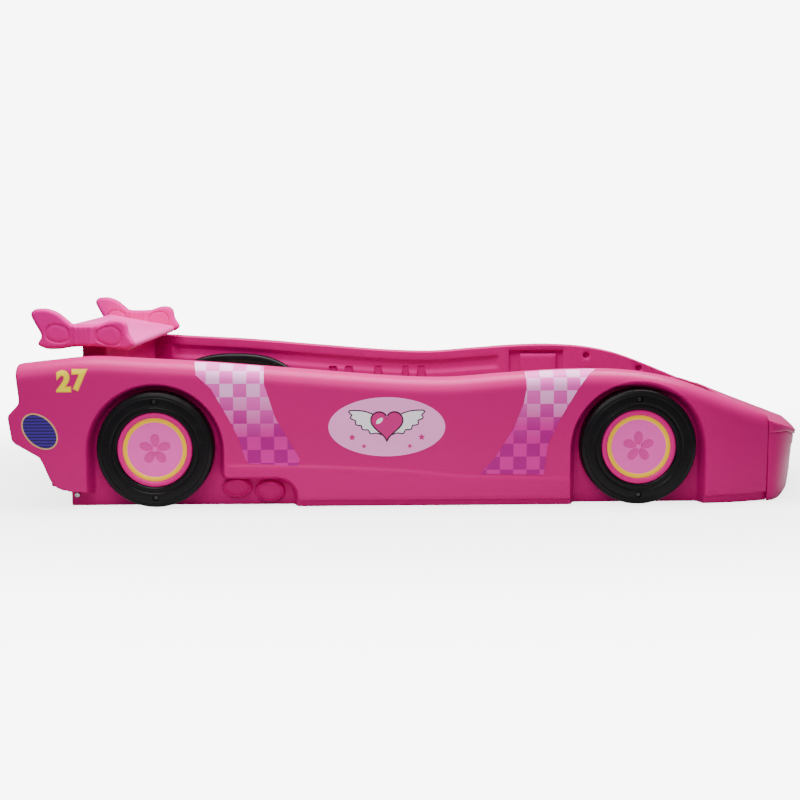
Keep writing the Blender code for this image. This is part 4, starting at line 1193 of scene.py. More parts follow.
def build_hub_cap(end):
    """One left hub cap: a rounded pink rim, a yellow ring and a disc with a moulded flower; and its twin."""
    x = WHEEL_X[end]
    centre = (x, WHEEL_Z)
    face = WHEEL_FACE_Y - 0.002
    floor = face - 0.007
    profile = [(HUB_RADIUS, WELL_FLOOR_Y + GAP), (HUB_RADIUS, face - 0.005)]
    profile += [(HUB_RADIUS - 0.003, face - 0.0008), (0.101, face), (0.0955, face - 0.001)]
    profile += [(0.0925, face - 0.005), (RING_RADIUS, face - 0.0052)]
    made = bmesh.new()
    turned(made, rounded_profile(profile, 0.002), centre, 128)
    rim = from_bmesh(f"hub_cap_{end}", made, finish("hub"), sharp=60.0)
    ring = bmesh.new()
    step = [(RING_RADIUS, face - 0.0052), (RING_RADIUS - 0.0015, face - 0.0042)]
    step += [(0.0835, face - 0.0042), (0.0815, face - 0.0060), (DISC_RADIUS - 0.0005, floor)]
    turned(ring, rounded_profile(step, 0.001), centre, 128)
    ring = from_bmesh(f"hub_ring_{end}_left", ring, finish("hub_ring"), sharp=60.0)
    petals = [petal(centre, 90.0 + 72.0 * k, 0.040, 0.030) for k in range(5)]
    middle = arc(centre, 0.0085, 0.0, 345.0, 23)
    marks = [Recess(path, 0.0016, 0.0012, 0.0008) for path in petals]
    marks.append(Recess(middle, -0.0016, 0.0012, 0.0008))

    def place(flat, depth):
        return [(px, floor - d, pz) for (px, pz), d in zip(flat, depth)]

    disc = skin(
        f"hub_disc_{end}_left", arc(centre, DISC_RADIUS, 0.0, 357.0, 119), marks, place, None, (0.0, 1.0, 0.0),
        finish("hub_disc"), spacing=0.006,
    )
    disc.data.materials.append(finish("hub_mark"))
    for polygon in disc.data.polygons:
        spot = [(polygon.center.x, polygon.center.z)]
        if any(signed_distance(spot, path)[0] < 0.0 for path in petals):
            polygon.material_index = 1
    pieces = list(both_sides(rim, f"hub_cap_{end}"))
    for extra in (ring, disc):
        pieces += [extra, mirror_copy(extra, extra.name.replace("_left", "_right"))]
    return pieces


def build_bolt(stem, x, z, seat, length, look):
    """One left round-headed bolt with a hexagon socket, along Y; and its twin."""
    head = seat + BOLT_HEAD_HEIGHT
    rings = [(0.0, head - length, 0), (0.0035, head - length, 0), (0.0035, seat, 0), (0.0075, seat, 0)]
    rings += [(0.0075, head - 0.0018, 0), (0.0068, head - 0.0006, 0), (0.0056, head, 0), (0.0041, head, 1)]
    rings += [(0.0038, head - 0.0036, 1), (0.0, head - 0.0040, 0)]
    made = bmesh.new()
    loops = []
    for radius, y, is_hexagon in rings:
        loop = []
        for step in range(24):
            angle = 2.0 * math.pi * step / 24
            flat = math.cos(math.radians(30.0)) / math.cos((angle % math.radians(60.0)) - math.radians(30.0))
            reach = radius * (flat if is_hexagon else 1.0)
            loop.append((x + reach * math.cos(angle), y, z + reach * math.sin(angle)))
        loops.append(loop)
    loft(made, loops, capped=False)
    bolt = from_bmesh(stem, made, look, sharp=35.0)
    return both_sides(bolt, stem)


def build_bolts():
    """All the bolts: two in each wheel and one in each rear corner."""
    pieces = []
    seat = WHEEL_FACE_Y - BOLT_SINK + GAP
    for end, x in WHEEL_X.items():
        for place, z in (("top", WHEEL_Z + BOLT_CIRCLE), ("bottom", WHEEL_Z - BOLT_CIRCLE)):
            # The wheel bolts' near-black steel is partly painted shade of their wells in the tyre.
            pieces += build_bolt(f"wheel_bolt_{end}_{place}", x, z, seat, 0.030, finish("dark_steel_and_painted_shade"))
    seat = WELL_FLOOR_Y + GAP
    place = (TAIL_FIN[-1][0] + 0.018, FOOT_HEIGHT - 0.013)
    pieces += build_bolt("corner_bolt", *place, seat, 0.020, finish("steel"))
    return pieces


# ---- Headboard, wing and bows --------------------------------------------------------------------
WING_PITCH = math.radians(10.7)
WING_CENTRE = (-0.985, 0.478)
BOW_CENTRE = (-0.985, 0.492)
WING_CHORD = 0.235
WING_THICKNESS = 0.024
POST_HALF_WIDTH = 0.415
BOW_HALF_THICKNESS = 0.017
BOW_OUTLINE = [
    (-0.038, 0.034), (0.026, 0.034), (0.044, 0.038), (0.068, 0.046), (0.096, 0.046), (0.112, 0.034),
    (0.118, 0.006), (0.134, -0.022), (0.126, -0.036), (0.108, -0.042), (0.080, -0.038), (0.026, -0.032),
    (-0.038, -0.032), (-0.082, -0.038), (-0.118, -0.038), (-0.140, -0.030), (-0.146, -0.020),
    (-0.136, 0.002), (-0.152, 0.034), (-0.164, 0.062), (-0.156, 0.076), (-0.140, 0.080), (-0.114, 0.079),
    (-0.084, 0.067), (-0.056, 0.044),
]


def pitched(x, z):
    """A point given about the wing's centre, turned by the wing's pitch."""
    cosine, sine = math.cos(WING_PITCH), math.sin(WING_PITCH)
    return WING_CENTRE[0] + x * cosine + z * sine, WING_CENTRE[1] - x * sine + z * cosine


def wing_underside(x):
    """Height of the wing's lower face at one place."""
    below = 0.5 * WING_THICKNESS / math.cos(WING_PITCH)
    return WING_CENTRE[1] - below - math.tan(WING_PITCH) * (x - WING_CENTRE[0])


def rounded_drop(flat, outline, radius, shares=(0.08, 0.25, 0.5, 0.75, 1.0)):
    """The drop of a closed outline's rounded edge at flat points, and the guides that shape it."""
    guides = [(offset_path(outline, -share * radius), True) for share in shares]
    return (edge_drop(flat, list(outline) + [outline[0]], radius) if flat is not None else None), guides


def build_headboard():
    """The headboard: a moulded wall with an inset panel, whose middle rises to carry the wing."""
    half = BOARD_HIGH.y
    shoulder = 0.424
    post_top = wing_underside(BOARD_HIGH.x) + 0.010
    corners = [(-half, BOARD_LOW.z), (half, BOARD_LOW.z), (half, shoulder), (POST_HALF_WIDTH, shoulder)]
    corners += [(POST_HALF_WIDTH, post_top), (-POST_HALF_WIDTH, post_top), (-POST_HALF_WIDTH, shoulder)]
    corners += [(-half, shoulder)]
    outline = rounded_path(corners, [0.004, 0.004, 0.016, 0.012, 0.002, 0.002, 0.012, 0.016])
    panel = rounded_path([(-0.40, 0.10), (0.40, 0.10), (0.40, 0.365), (-0.40, 0.365)], 0.045, 10)
    inner = rounded_path([(-0.37, 0.13), (0.37, 0.13), (0.37, 0.335), (-0.37, 0.335)], 0.030, 10)
    radius = 0.010

    def place_front(flat, depth):
        drop = rounded_drop(flat, outline, radius)[0]
        return [(BOARD_HIGH.x - d, y, z) for (y, z), d in zip(flat, depth + drop)]

    def to_back(point):
        return Vector((BOARD_LOW.x, point.y, min(point.z, wing_underside(BOARD_LOW.x) - GAP)))

    recesses = [Recess(panel, 0.007, 0.006, 0.006), Recess(inner, 0.0035, 0.004, 0.004)]
    board = skin(
        "headboard_skin", outline, recesses, place_front, to_back, (1.0, 0.0, 0.0), finish("body"),
        spacing=0.020, guides=rounded_drop(None, outline, radius)[1], closed=True,
    )
    for vertex in board.data.vertices:
        vertex.co.z = min(vertex.co.z, wing_underside(vertex.co.x) - GAP)
    bevelled(board, 0.004, 3, 60.0)
    return [stand_for(board, "headboard")]


def wing_section(bulge):
    """The wing's closed outline about its centre: a round nose, a hollowed top and a turned-up tail."""
    half = 0.5 * WING_CHORD
    thick = 0.5 * WING_THICKNESS
    points = arc((half - thick, 0.0), thick, -90.0, 90.0, 12)
    for t in spread(0.0, 1.0, 14)[1:-1]:
        x = half - thick - t * (WING_CHORD - thick - 0.008)
        points.append((x, thick - bulge * 0.006 * math.sin(math.pi * t) ** 2))
    points += arc((-half + 0.006, thick - 0.006), 0.006, 95.0, 180.0, 4)
    points += [(-half, -thick + 0.004), (-half + 0.004, -thick)]
    return [pitched(x, z) for x, z in points]


def build_wing():
    """The pale wing between the bows, its top hollowed between raised ends."""
    made = bmesh.new()
    rings = []
    for y in spread(-WING_HALF_SPAN, WING_HALF_SPAN, 45):
        bulge = float(ease(0.0, 0.06, WING_HALF_SPAN - abs(y) - 0.03))
        rings.append([(x, y, z) for x, z in wing_section(bulge)])
    loft(made, rings)
    wing = from_bmesh("spoiler_wing_skin", made, finish("wing"), sharp=50.0)
    return [stand_for(wing, "spoiler_wing")]


def bow_recesses():
    """The bow's moulded lines: an oval in each loop, the raised knot and its pleats."""
    x0, z0 = BOW_CENTRE
    rear = [(x0 + x, z0 + z) for x, z in (
        (-0.124, 0.006), (-0.120, 0.024), (-0.102, 0.036), (-0.080, 0.035), (-0.060, 0.026), (-0.052, 0.010),
        (-0.054, -0.012), (-0.076, -0.021), (-0.100, -0.019), (-0.118, -0.009),
    )]
    front = [(x0 + x, z0 + z) for x, z in (
        (0.022, -0.004), (0.026, 0.014), (0.046, 0.028), (0.074, 0.031), (0.094, 0.018), (0.100, -0.006),
        (0.092, -0.026), (0.066, -0.031), (0.040, -0.023), (0.026, -0.014),
    )]
    knot = [(x0 + x, z0 + z) for x, z in ((-0.044, -0.030), (0.016, -0.030), (0.016, 0.032), (-0.044, 0.032))]
    recesses = [Recess(smooth_path(path, 5), 0.0028, 0.0012, 0.0012) for path in (rear, front)]
    for recess in list(recesses):
        inner = offset_path(recess.path, -0.0046)
        recesses.append(Recess([tuple(point) for point in inner], -0.0001, 0.0016, 0.0016))
    recesses.append(Recess(rounded_path(knot, 0.008), -0.0035, 0.004, 0.003))
    return recesses


def bow_relief(flat, recesses):
    """Depth of the bow's face: sunk lines round the loops, whose middles puff back up, and the knot."""
    depth = np.zeros(len(flat))
    for ring in recesses[:2]:
        sunk = ring.depth_at(flat)
        rise = 0.0022 * ease(0.002, 0.010, -signed_distance(flat, ring.path))
        depth = np.where(sunk > 0.0, sunk - rise, depth)
    knot = recesses[-1]
    raised = knot.depth_at(flat)
    reach = flat[:, 0] - BOW_CENTRE[0] + 0.013
    within = ease(0.0, 0.010, -signed_distance(flat, knot.path))
    folds = 0.0011 * np.cos(reach * 2.0 * math.pi / 0.0145) * within
    return np.where(raised < 0.0, raised + folds, depth)


def build_bow():
    """The left bow-shaped end plate, moulded on both faces, and its twin."""
    x0, z0 = BOW_CENTRE
    outline = smooth_path([(x0 + x, z0 + z) for x, z in reversed(BOW_OUTLINE)], 5)
    middle = BOW_LOW_Y + BOW_HALF_THICKNESS
    recesses = bow_recesses()
    radius = 0.012
    guides = rounded_drop(None, outline, radius, (0.05, 0.14, 0.28, 0.45, 0.65, 0.85, 1.0))[1]
    for recess in recesses:
        guides += [(path, True) for path in recess.guides()]

    def place(flat, _):
        depth = bow_relief(flat, recesses) + rounded_drop(flat, outline, radius)[0]
        return [(x, middle + BOW_HALF_THICKNESS - d, z) for (x, z), d in zip(flat, depth)]

    def to_middle(point):
        return Vector((point.x, middle, point.z))

    bow = skin("spoiler_bow", outline, [], place, to_middle, (0.0, 1.0, 0.0), finish("bow"), spacing=0.006,
               guides=guides)
    made = bmesh.new()
    made.from_mesh(bow.data)
    far = bmesh.ops.duplicate(made, geom=made.verts[:] + made.edges[:] + made.faces[:])["geom"]
    verts = [item for item in far if isinstance(item, bmesh.types.BMVert)]
    for vert in verts:
        vert.co.y = 2.0 * middle - vert.co.y
    bmesh.ops.reverse_faces(made, faces=[item for item in far if isinstance(item, bmesh.types.BMFace)])
    bpy.data.objects.remove(bow)
    bow = from_bmesh("spoiler_bow", made, finish("bow"))
    return both_sides(bow, "spoiler_bow")


# ---- Nose ----------------------------------------------------------------------------------------
def hood_skirt(x):
    """Height of the hood's lower edge."""
    return max(seam_height(x) - GAP, rim_height(x) - 0.055)


def hood_section(x, width, drop):
    """One (y, z) arch over the hood: straight skirts, rounded shoulders and a crowned top with a spine."""
    low = hood_skirt(x)
    high = rim_height(x) - 0.012 - drop
    points = [(width, low + (high - low) * t) for t in spread(0.0, 0.92, 5)]
    for step in range(49):
        angle = math.pi * step / 48
        side = math.cos(angle)
        y = width * (abs(side) ** 0.75) * (1.0 if side >= 0.0 else -1.0)
        edge = (abs(y) / width) ** 8
        spine = 0.003 * math.exp(-((y / 0.11) ** 4))
        crown = 0.010 * (1.0 - (y / width) ** 2)
        points.append((y, rim_height(x) - drop - 0.012 * edge + crown + spine - 0.003))
    points += [(-y, z) for y, z in reversed(points[:5])]
    return [(x, y, z) for y, z in points]


def build_hood():
    """The sloping hood over the foot end and the nose."""
    rear = HOOD_LOW.x
    beside = INNER_Y - GAP
    step_x = SEAM_X + 2.0 * GAP
    rings = []
    for reach, drop in ((0.0, 0.006), (0.001, 0.0035), (0.003, 0.0014), (0.006, 0.0)):
        rings.append(hood_section(rear + reach, beside, drop))
    rings += [hood_section(x, beside, 0.0) for x in spread(rear + 0.02, step_x - GAP, 24)]
    for angle in spread(0.0, 0.5 * math.pi, 40):
        x = step_x + (NOSE_X - 0.001 - step_x) * math.sin(angle)
        rings.append(hood_section(x, half_width(x), 0.0))
    made = bmesh.new()
    loops = [[made.verts.new(point) for point in ring] for ring in rings]
    for near, far in zip(loops, loops[1:]):
        for a, b, c, d in zip(near, near[1:], far[1:], far):
            made.faces.new((a, b, c, d))
    hood = from_bmesh("hood_skin", made, finish("body"), sharp=50.0, facing=(0.0, 0.0, 1.0))
    thicken(hood, sizes().nose_wall)
    return [stand_for(hood, "hood")]


class Nose:
    """The bumper's face unrolled: u runs round the nose from right to left, and z runs up."""

    def __init__(self):
        self.plan = []
        front = NOSE_X - 0.004
        rear = SEAM_X + GAP
        for angle in spread(-0.5 * math.pi, 0.5 * math.pi, 241):
            across = math.sin(angle)
            y = SEAM_HALF_WIDTH * across
            reach = max(1.0 - abs(across) ** (1.0 / 0.6), 0.0) ** (1.0 / 1.8)
            self.plan.append((rear + (front - rear) * reach, y))
        self.rear = rear
        self.plan = np.asarray(self.plan)
        steps = np.hypot(*np.diff(self.plan, axis=0).T)
        self.length = np.concatenate([[0.0], np.cumsum(steps)])
        self.end = float(self.length[-1])

    def u_at(self, y):
        """The place round the nose at one distance across."""
        return float(np.interp(y, self.plan[:, 1], self.length))

    def x_at(self, u):
        """The plan's x at one place round the nose."""
        return np.interp(u, self.length, self.plan[:, 0])

    def y_at(self, u):
        """The plan's y at one place round the nose."""
        return np.interp(u, self.length, self.plan[:, 1])

    def place(self, flat, depth):
        """Put unrolled points in space, sunk by their depth."""
        u, z = np.asarray(flat).T
        x = self.x_at(u)
        y = self.y_at(u)
        step = 0.002
        dx = self.x_at(u + step) - self.x_at(u - step)
        dy = self.y_at(u + step) - self.y_at(u - step)
        size = np.maximum(np.hypot(dx, dy), 1e-9)
        across = 1.0 - np.clip(z / SEAM_Z, 0.0, 1.0)
        lean = BUMPER_LEAN * across**1.3
        tuck = 0.012 * np.clip(1.0 - z / 0.03, 0.0, 1.0) ** 2
        share = (x - self.rear) / (self.plan[:, 0].max() - self.rear)
        px = x - lean * share - (depth + tuck) * dy / size
        py = y + (depth + tuck) * dx / size
        return [tuple(point) for point in np.stack([px, py, z], axis=1)]


def lamp_outline(side, grow=0.0):
    """The (y, z) corners of a slanted headlamp, in the order of a closed path."""
    inner, outer = side * (0.195 - grow), side * (0.405 + grow)
    return [(inner, 0.100 - grow), (outer, 0.078 - grow), (outer, 0.146 + grow), (inner, 0.132 + grow)]


def grille_outline(grow=0.0):
    """The (y, z) corners of the grille."""
    half, low, high = 0.150 + grow, 0.052 - grow, 0.124 + grow
    return [(-half + 0.03, low), (half - 0.03, low), (half, high), (-half, high)]


def unrolled(nose, corners, radius):
    """A rounded (u, z) outline from (y, z) corners."""
    fine = resample(corners, 0.02)
    flat = [(nose.u_at(y), z) for y, z in fine]
    radii = [radius if point in corners else 0.0 for point in fine]
    return rounded_path(flat, [r if r else 0.0005 for r in radii], 5)


def build_bumper():
    """The front bumper with its lamp and grille openings sunk in, the lamps and the grille."""
    nose = Nose()
    bottom = [(u, 0.0) for u in spread(0.0, nose.end, 80)]
    top = [(u, seam_height(float(nose.x_at(u))) - GAP) for u in spread(nose.end, 0.0, 80)]
    outline = bottom + top
    lamps = [unrolled(nose, lamp_outline(side, 0.002), 0.014) for side in (-1, 1)]
    recesses = [Recess(path, 0.009, 0.003, 0.002) for path in lamps]
    recesses.append(Recess(unrolled(nose, grille_outline(0.003), 0.012), 0.016, 0.003, 0.002))
    intake = [(-0.34, 0.018), (0.34, 0.018), (0.32, 0.036), (-0.32, 0.036)]
    recesses.append(Recess(unrolled(nose, intake, 0.008), 0.006, 0.003, 0.003))
    radius = 0.004
    guides = [(offset_path(outline, -share * radius), True) for share in (0.12, 0.4, 0.7, 1.0)]

    def place(flat, depth):
        return nose.place(flat, depth + edge_drop(flat, top, radius))

    bumper = skin(
        "bumper_skin", outline, recesses, place, None, (1.0, 0.0, 0.0), finish("body"), spacing=0.014,
        guides=guides,
    )
    thicken(bumper, sizes().bumper_wall)
    pieces = [stand_for(bumper, "bumper")]
    for side, word in ((-1, "right"), (1, "left")):
        pieces += build_lamp(nose, side, word)
    return pieces + build_grille(nose)


def build_lamp(nose, side, word):
    """One headlamp: a pale lens with two round reflectors."""
    outline = unrolled(nose, lamp_outline(side, -0.001), 0.012)
    rounds = []
    for y, radius in ((0.245, 0.013), (0.345, 0.023)):
        u = nose.u_at(side * y)
        rounds.append(Recess(arc((u, 0.1135), radius, 0.0, 350.0, 35), 0.004, 0.003, 0.003))
        rounds.append(Recess(arc((u, 0.1135), radius * 0.45, 0.0, 350.0, 23), 0.0015, 0.003, 0.003))

    def place(flat, depth):
        drop = rounded_drop(flat, outline, 0.005)[0]
        return nose.place(flat, 0.0035 + depth + drop)

    guides = rounded_drop(None, outline, 0.005)[1]
    lens = skin(
        f"headlight_{word}_skin", outline, rounds, place, None, (1.0, 0.0, 0.0), finish("lamp"),
        spacing=0.008, guides=guides,
    )
    thicken(lens, sizes().nose_wall)
    return [stand_for(lens, f"headlight_{word}")]


def build_grille(nose):
    """The grille: a black plate with a raised frame and level bars."""
    outline = unrolled(nose, grille_outline(-0.001), 0.010)
    slots = []
    for z in spread(0.064, 0.112, 5):
        half = 0.118 + 0.03 * (z - 0.052) / 0.072 - 0.004
        corners = [(-half, z - 0.0036), (half, z - 0.0036), (half, z + 0.0036), (-half, z + 0.0036)]
        slots.append(Recess(unrolled(nose, corners, 0.003), 0.006, 0.0012, 0.0012))

    def place(flat, depth):
        drop = rounded_drop(flat, outline, 0.004)[0]
        return nose.place(flat, 0.007 + depth + drop)

    plate = skin(
        "grille_skin", outline, slots, place, None, (1.0, 0.0, 0.0), finish("black"), spacing=0.010,
        guides=rounded_drop(None, outline, 0.004)[1],
    )
    thicken(plate, sizes().nose_wall)
    return [stand_for(plate, "grille")]


# ---- Cross panels --------------------------------------------------------------------------------
def build_tail_panel():
    """The rear cross panel between the tail fins, with two sunk oval lamps and a number-plate panel."""
    half = TAIL_HIGH.y
    heights = (0.050, 0.148, 0.192, 0.268, 0.302, 0.395)
    rears = (-1.100, -1.100, -1.130, -1.130, -1.114, -1.110)
    outline = rounded_path([(-half, 0.050), (half, 0.050), (half, 0.395), (-half, 0.395)], 0.006)
    ovals = []
    for side in (-1, 1):
        ovals.append(Recess(arc((side * 0.355, 0.230), 0.062, 0.0, 350.0, 35, 0.42), 0.006, 0.004, 0.003))
    plate = rounded_path([(-0.17, 0.200), (0.17, 0.200), (0.17, 0.262), (-0.17, 0.262)], 0.012)
    lower = rounded_path([(-0.40, 0.070), (0.40, 0.070), (0.40, 0.128), (-0.40, 0.128)], 0.016)
    recesses = ovals + [Recess(plate, 0.005, 0.004, 0.003), Recess(lower, 0.006, 0.005, 0.004)]
    folds = (0.143, 0.148, 0.153, 0.187, 0.192, 0.197, 0.264, 0.268)
    levels = [([(-half, z), (half, z)], False) for z in folds]
    radius = 0.008

    def place(flat, depth):
        drop = rounded_drop(flat, outline, radius)[0]
        places = []
        for (y, z), d in zip(flat, depth + drop):
            places.append((np.interp(z, heights, rears) + d, y, z))
        return places

    def to_front(point):
        return Vector((TAIL_HIGH.x, point.y, point.z))

    panel = skin(
        "tail_panel_skin", outline, recesses, place, to_front, (-1.0, 0.0, 0.0), finish("body"),
        spacing=0.018, guides=rounded_drop(None, outline, radius)[1] + levels, closed=True,
    )
    bevelled(panel, 0.004, 3, 60.0)
    return [stand_for(panel, "tail_panel")]


def build_foot_panel():
    """The cross wall under the hood, with a shallow inset panel facing the mattress."""
    low, high = node_box("foot_panel")
    outline = rounded_path([(low.y, 0.0), (high.y, 0.0), (high.y, high.z), (low.y, high.z)], 0.006)
    left, right = high.y - 0.06, low.y + 0.06
    inset = rounded_path([(right, 0.13), (left, 0.13), (left, 0.20), (right, 0.20)], 0.02)

    def place(flat, depth):
        drop = rounded_drop(flat, outline, 0.006)[0]
        return [(low.x + d, y, z) for (y, z), d in zip(flat, depth + drop)]

    def to_front(point):
        return Vector((high.x, point.y, point.z))

    panel = skin(
        "foot_panel_skin", outline, [Recess(inset, 0.005, 0.004, 0.004)], place, to_front, (-1.0, 0.0, 0.0),
        finish("body"), spacing=0.02, guides=rounded_drop(None, outline, 0.006)[1], closed=True,
    )
    return [stand_for(panel, "foot_panel")]


# ---- Deck ----------------------------------------------------------------------------------------
def dress(node, look, rounding):
    """Round a frame node's edges and give it a finish."""
    obj = bpy.data.objects[node]
    obj.data.materials.clear()
    obj.data.materials.append(look)
    modifier = obj.modifiers.new("rounding", "BEVEL")
    modifier.width = rounding
    modifier.segments = 3
    modifier.limit_method = "ANGLE"
    obj.data.shade_smooth()
    modifier.harden_normals = True
    return obj


def build_deck():
    """The rails, the centre beam on its legs, and the wooden slats."""
    rounding = sizes().slat_rounding
    pieces = [dress(f"slat_{number:02d}", finish("wood"), rounding) for number in range(1, 11)]
    for node in ("deck_rail_left", "deck_rail_right", "centre_beam"):
        pieces.append(dress(node, finish("black"), 0.004))
    pieces += [dress(f"beam_leg_{number}", finish("black"), 0.005) for number in (1, 2, 3)]
    return pieces


# ---- Stickers ------------------------------------------------------------------------------------
def sticker(name, outline, look, lift=1.0, spacing=0.007, side="both"):
    """A thin printed patch on the side panel's face. It may be on one side or on both."""
    height = sizes().sticker_lift * lift
    arches = [rear_well_path(), well_path(WHEEL_X["front"])]
    if min(np.min(signed_distance(outline, arch)) for arch in arches) < 0.012:
        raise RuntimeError(f"{name} runs over a wheel arch")

    def place(flat, _):
        points = []
        for x, s in flat:
            (px, py, pz), (ny, nz) = skin_base(float(x), float(s))
            points.append((px, py + ny * height, pz + nz * height))
        return points

    patch = skin(name + "_left", outline, [], place, None, (0.0, 1.0, 0.0), look, spacing=spacing)
    if side == "left":
        return [patch]
    twin = mirror_copy(patch, name + "_right")
    if side == "right":
        bpy.data.objects.remove(patch)
        return [twin]
    return [patch, twin]


def digit(character):
    """The closed outline of one digit without holes, one unit high, as (x, y)."""
    text = bpy.data.curves.new("digit", "FONT")
    text.body = character
    text.size = 1.0
    text.offset = 0.035
    text.resolution_u = 6
    made = bpy.data.objects.new("digit", text)
    mesh = bpy.data.meshes.new_from_object(made)
    following = {}
    shape = bmesh.new()
    shape.from_mesh(mesh)
    bmesh.ops.remove_doubles(shape, verts=shape.verts, dist=1e-5)
    for edge in shape.edges:
        if len(edge.link_faces) == 1:
            loop = edge.link_loops[0]
            following[loop.vert.index] = loop.link_loop_next.vert.index
    places = {vert.index: (vert.co.x, vert.co.y) for vert in shape.verts}
    start = min(following)
    order = [start]
    while following[order[-1]] != start:
        order.append(following[order[-1]])
    shape.free()
    bpy.data.objects.remove(made)
    bpy.data.curves.remove(text)
    outline = np.asarray([places[index] for index in order])
    low, high = outline.min(axis=0), outline.max(axis=0)
    return (outline - low) / (high[1] - low[1])


def build_number():
    """The race number on each rear fender, reading forward on both sides of the car."""
    height = sizes().number_height
    start_x, foot = -1.055, 0.340
    pieces = []
    for side in ("left", "right"):
        cursor = start_x
        for index, character in enumerate("27"):
            shape = digit(character) * np.array([height * 0.98, height])
            width = float(shape[:, 0].max())
            if side == "left":
                x = 2.0 * (start_x + 0.051) - cursor - shape[:, 0]
            else:
                x = cursor + shape[:, 0]
            outline = np.stack([x, foot + shape[:, 1] + 0.003 * index], axis=1)
            label = f"number_{index + 1}"
            pieces += sticker(label, outline, finish("number"), 2.0, 0.006, side)
            edge = offset_path(outline, 0.0022)
            pieces += sticker(label + "_edge", edge, finish("outline"), 1.0, 0.006, side)
            cursor += width + 0.006
    return pieces


def ellipse(centre, long, short, tilt, segments=72):
    """A closed ellipse turned by a tilt in degrees."""
    turn = math.radians(tilt)
    points = []
    for x, y in arc((0.0, 0.0), 1.0, 0.0, 360.0 * (1.0 - 1.0 / segments), segments - 1):
        across = (long * x * math.cos(turn) - short * y * math.sin(turn))
        up = (long * x * math.sin(turn) + short * y * math.cos(turn))
        points.append((centre[0] + across, centre[1] + up))
    return points


def build_vent():
    """The oval printed vent behind each rear wheel: a gold ring round blue louvres."""
    centre = (-1.108, 0.2255)
    ring = sticker("vent_ring", ellipse(centre, 0.0605, 0.0425, -47.0), finish("vent_ring"), 1.0)
    return ring + sticker("vent_louvres", ellipse(centre, 0.0560, 0.0380, -47.0), finish("vent"), 2.0)


def heart(centre, size):
    """A heart's outline."""
    points = []
    for step in range(60):
        t = 2.0 * math.pi * step / 60
        x = 16.0 * math.sin(t) ** 3
        y = 13.0 * math.cos(t) - 5.0 * math.cos(2 * t) - 2.0 * math.cos(3 * t) - math.cos(4 * t)
        points.append((centre[0] + size * x / 34.0, centre[1] + size * (y + 2.5) / 34.0))
    return points


def winglet(centre, side, size):
    """A feathered wing's outline, reaching out from a centre to one side."""
    corners = [
        (0.10, 0.10), (0.35, 0.34), (0.75, 0.50), (1.20, 0.52), (1.12, 0.40), (1.16, 0.30), (1.00, 0.22),
        (1.00, 0.10), (0.82, 0.06), (0.78, -0.06), (0.60, -0.08), (0.52, -0.20), (0.34, -0.18), (0.10, -0.22),
    ]
    return smooth_path([(centre[0] + side * size * x, centre[1] + size * y) for x, y in corners], 4)


def star(centre, size):
    """A five-pointed star's outline."""
    points = []
    for step in range(10):
        reach = size * (1.0 if step % 2 == 0 else 0.45)
        angle = math.radians(90.0 + 36.0 * step)
        points.append((centre[0] + reach * math.cos(angle), centre[1] + reach * math.sin(angle)))
    return rounded_path(points, 0.002, 3)


def build_badge():
    """The oval badge on each door: a winged heart between stars."""
    centre = (-0.115, 0.233)
    pieces = sticker("badge", ellipse(centre, 0.168, 0.086, 0.0, 96), finish("badge"), 1.0)
    for side, word in ((-1, "rear"), (1, "front")):
        shape = winglet(centre, side, 0.088)
        pieces += sticker(f"badge_wing_edge_{word}", offset_path(shape, 0.0035), finish("badge_line"), 1.5)
        pieces += sticker(f"badge_wing_{word}", shape, finish("badge_white"), 2.2)
        for count, (dx, dz, size) in enumerate(((0.100, -0.030, 0.011), (0.066, -0.056, 0.008))):
            place = (centre[0] + side * dx, centre[1] + dz)
            name = f"badge_star_{word}_{count}"
            pieces += sticker(name, star(place, size), finish("badge_mark"), 1.6, 0.004)
    shape = heart((centre[0], centre[1] + 0.002), 0.094)
    pieces += sticker("badge_heart_edge", offset_path(shape, 0.0038), finish("badge_line"), 3.0)
    pieces += sticker("badge_heart", shape, finish("badge_mark"), 3.8)
    shine = ellipse((centre[0] - 0.021, centre[1] + 0.018), 0.012, 0.006, 40.0, 24)
    return pieces + sticker("badge_shine", shine, finish("badge_white"), 4.6, 0.004)


def on_skin(x, z):
    """The unrolled place of a point that is seen from the side."""
    face = face_height(x)
    if z <= face:
        return x, z
    lift = min((z - face) / SHOULDER_RADIUS, 1.0)
    return x, face + SHOULDER_RADIUS * math.asin(lift)


def build_checks():
    """The two bands of slanted checks that flank each door."""
    rear_end = (-0.668, face_height(-0.668) + 0.98 * ROLL_LENGTH)
    front_end = (-0.468, face_height(-0.468) + 0.98 * ROLL_LENGTH)
    rear = [on_skin(x, z) for x, z in (
        (-0.660, 0.385), (-0.617, 0.345), (-0.572, 0.265), (-0.542, 0.204), (-0.523, 0.140), (-0.512, 0.128),
        (-0.372, 0.120), (-0.365, 0.139), (-0.435, 0.261), (-0.466, 0.359),
    )]
    outline = [rear_end] + rear + [front_end]
    pieces = sticker("checks_rear", outline, finish("checks_rear"), 1.0)
    tail_end = (0.286, face_height(0.286) + 0.98 * ROLL_LENGTH)
    nose_end = (0.494, face_height(0.494) + 0.98 * ROLL_LENGTH)
    front = [on_skin(x, z) for x, z in (
        (0.286, 0.337), (0.279, 0.300), (0.251, 0.228), (0.197, 0.141), (0.156, 0.094), (0.339, 0.090),
        (0.349, 0.178), (0.386, 0.256), (0.434, 0.337),
    )]
    return pieces + sticker("checks_front", [tail_end] + front + [nose_end], finish("checks_front"), 1.0)


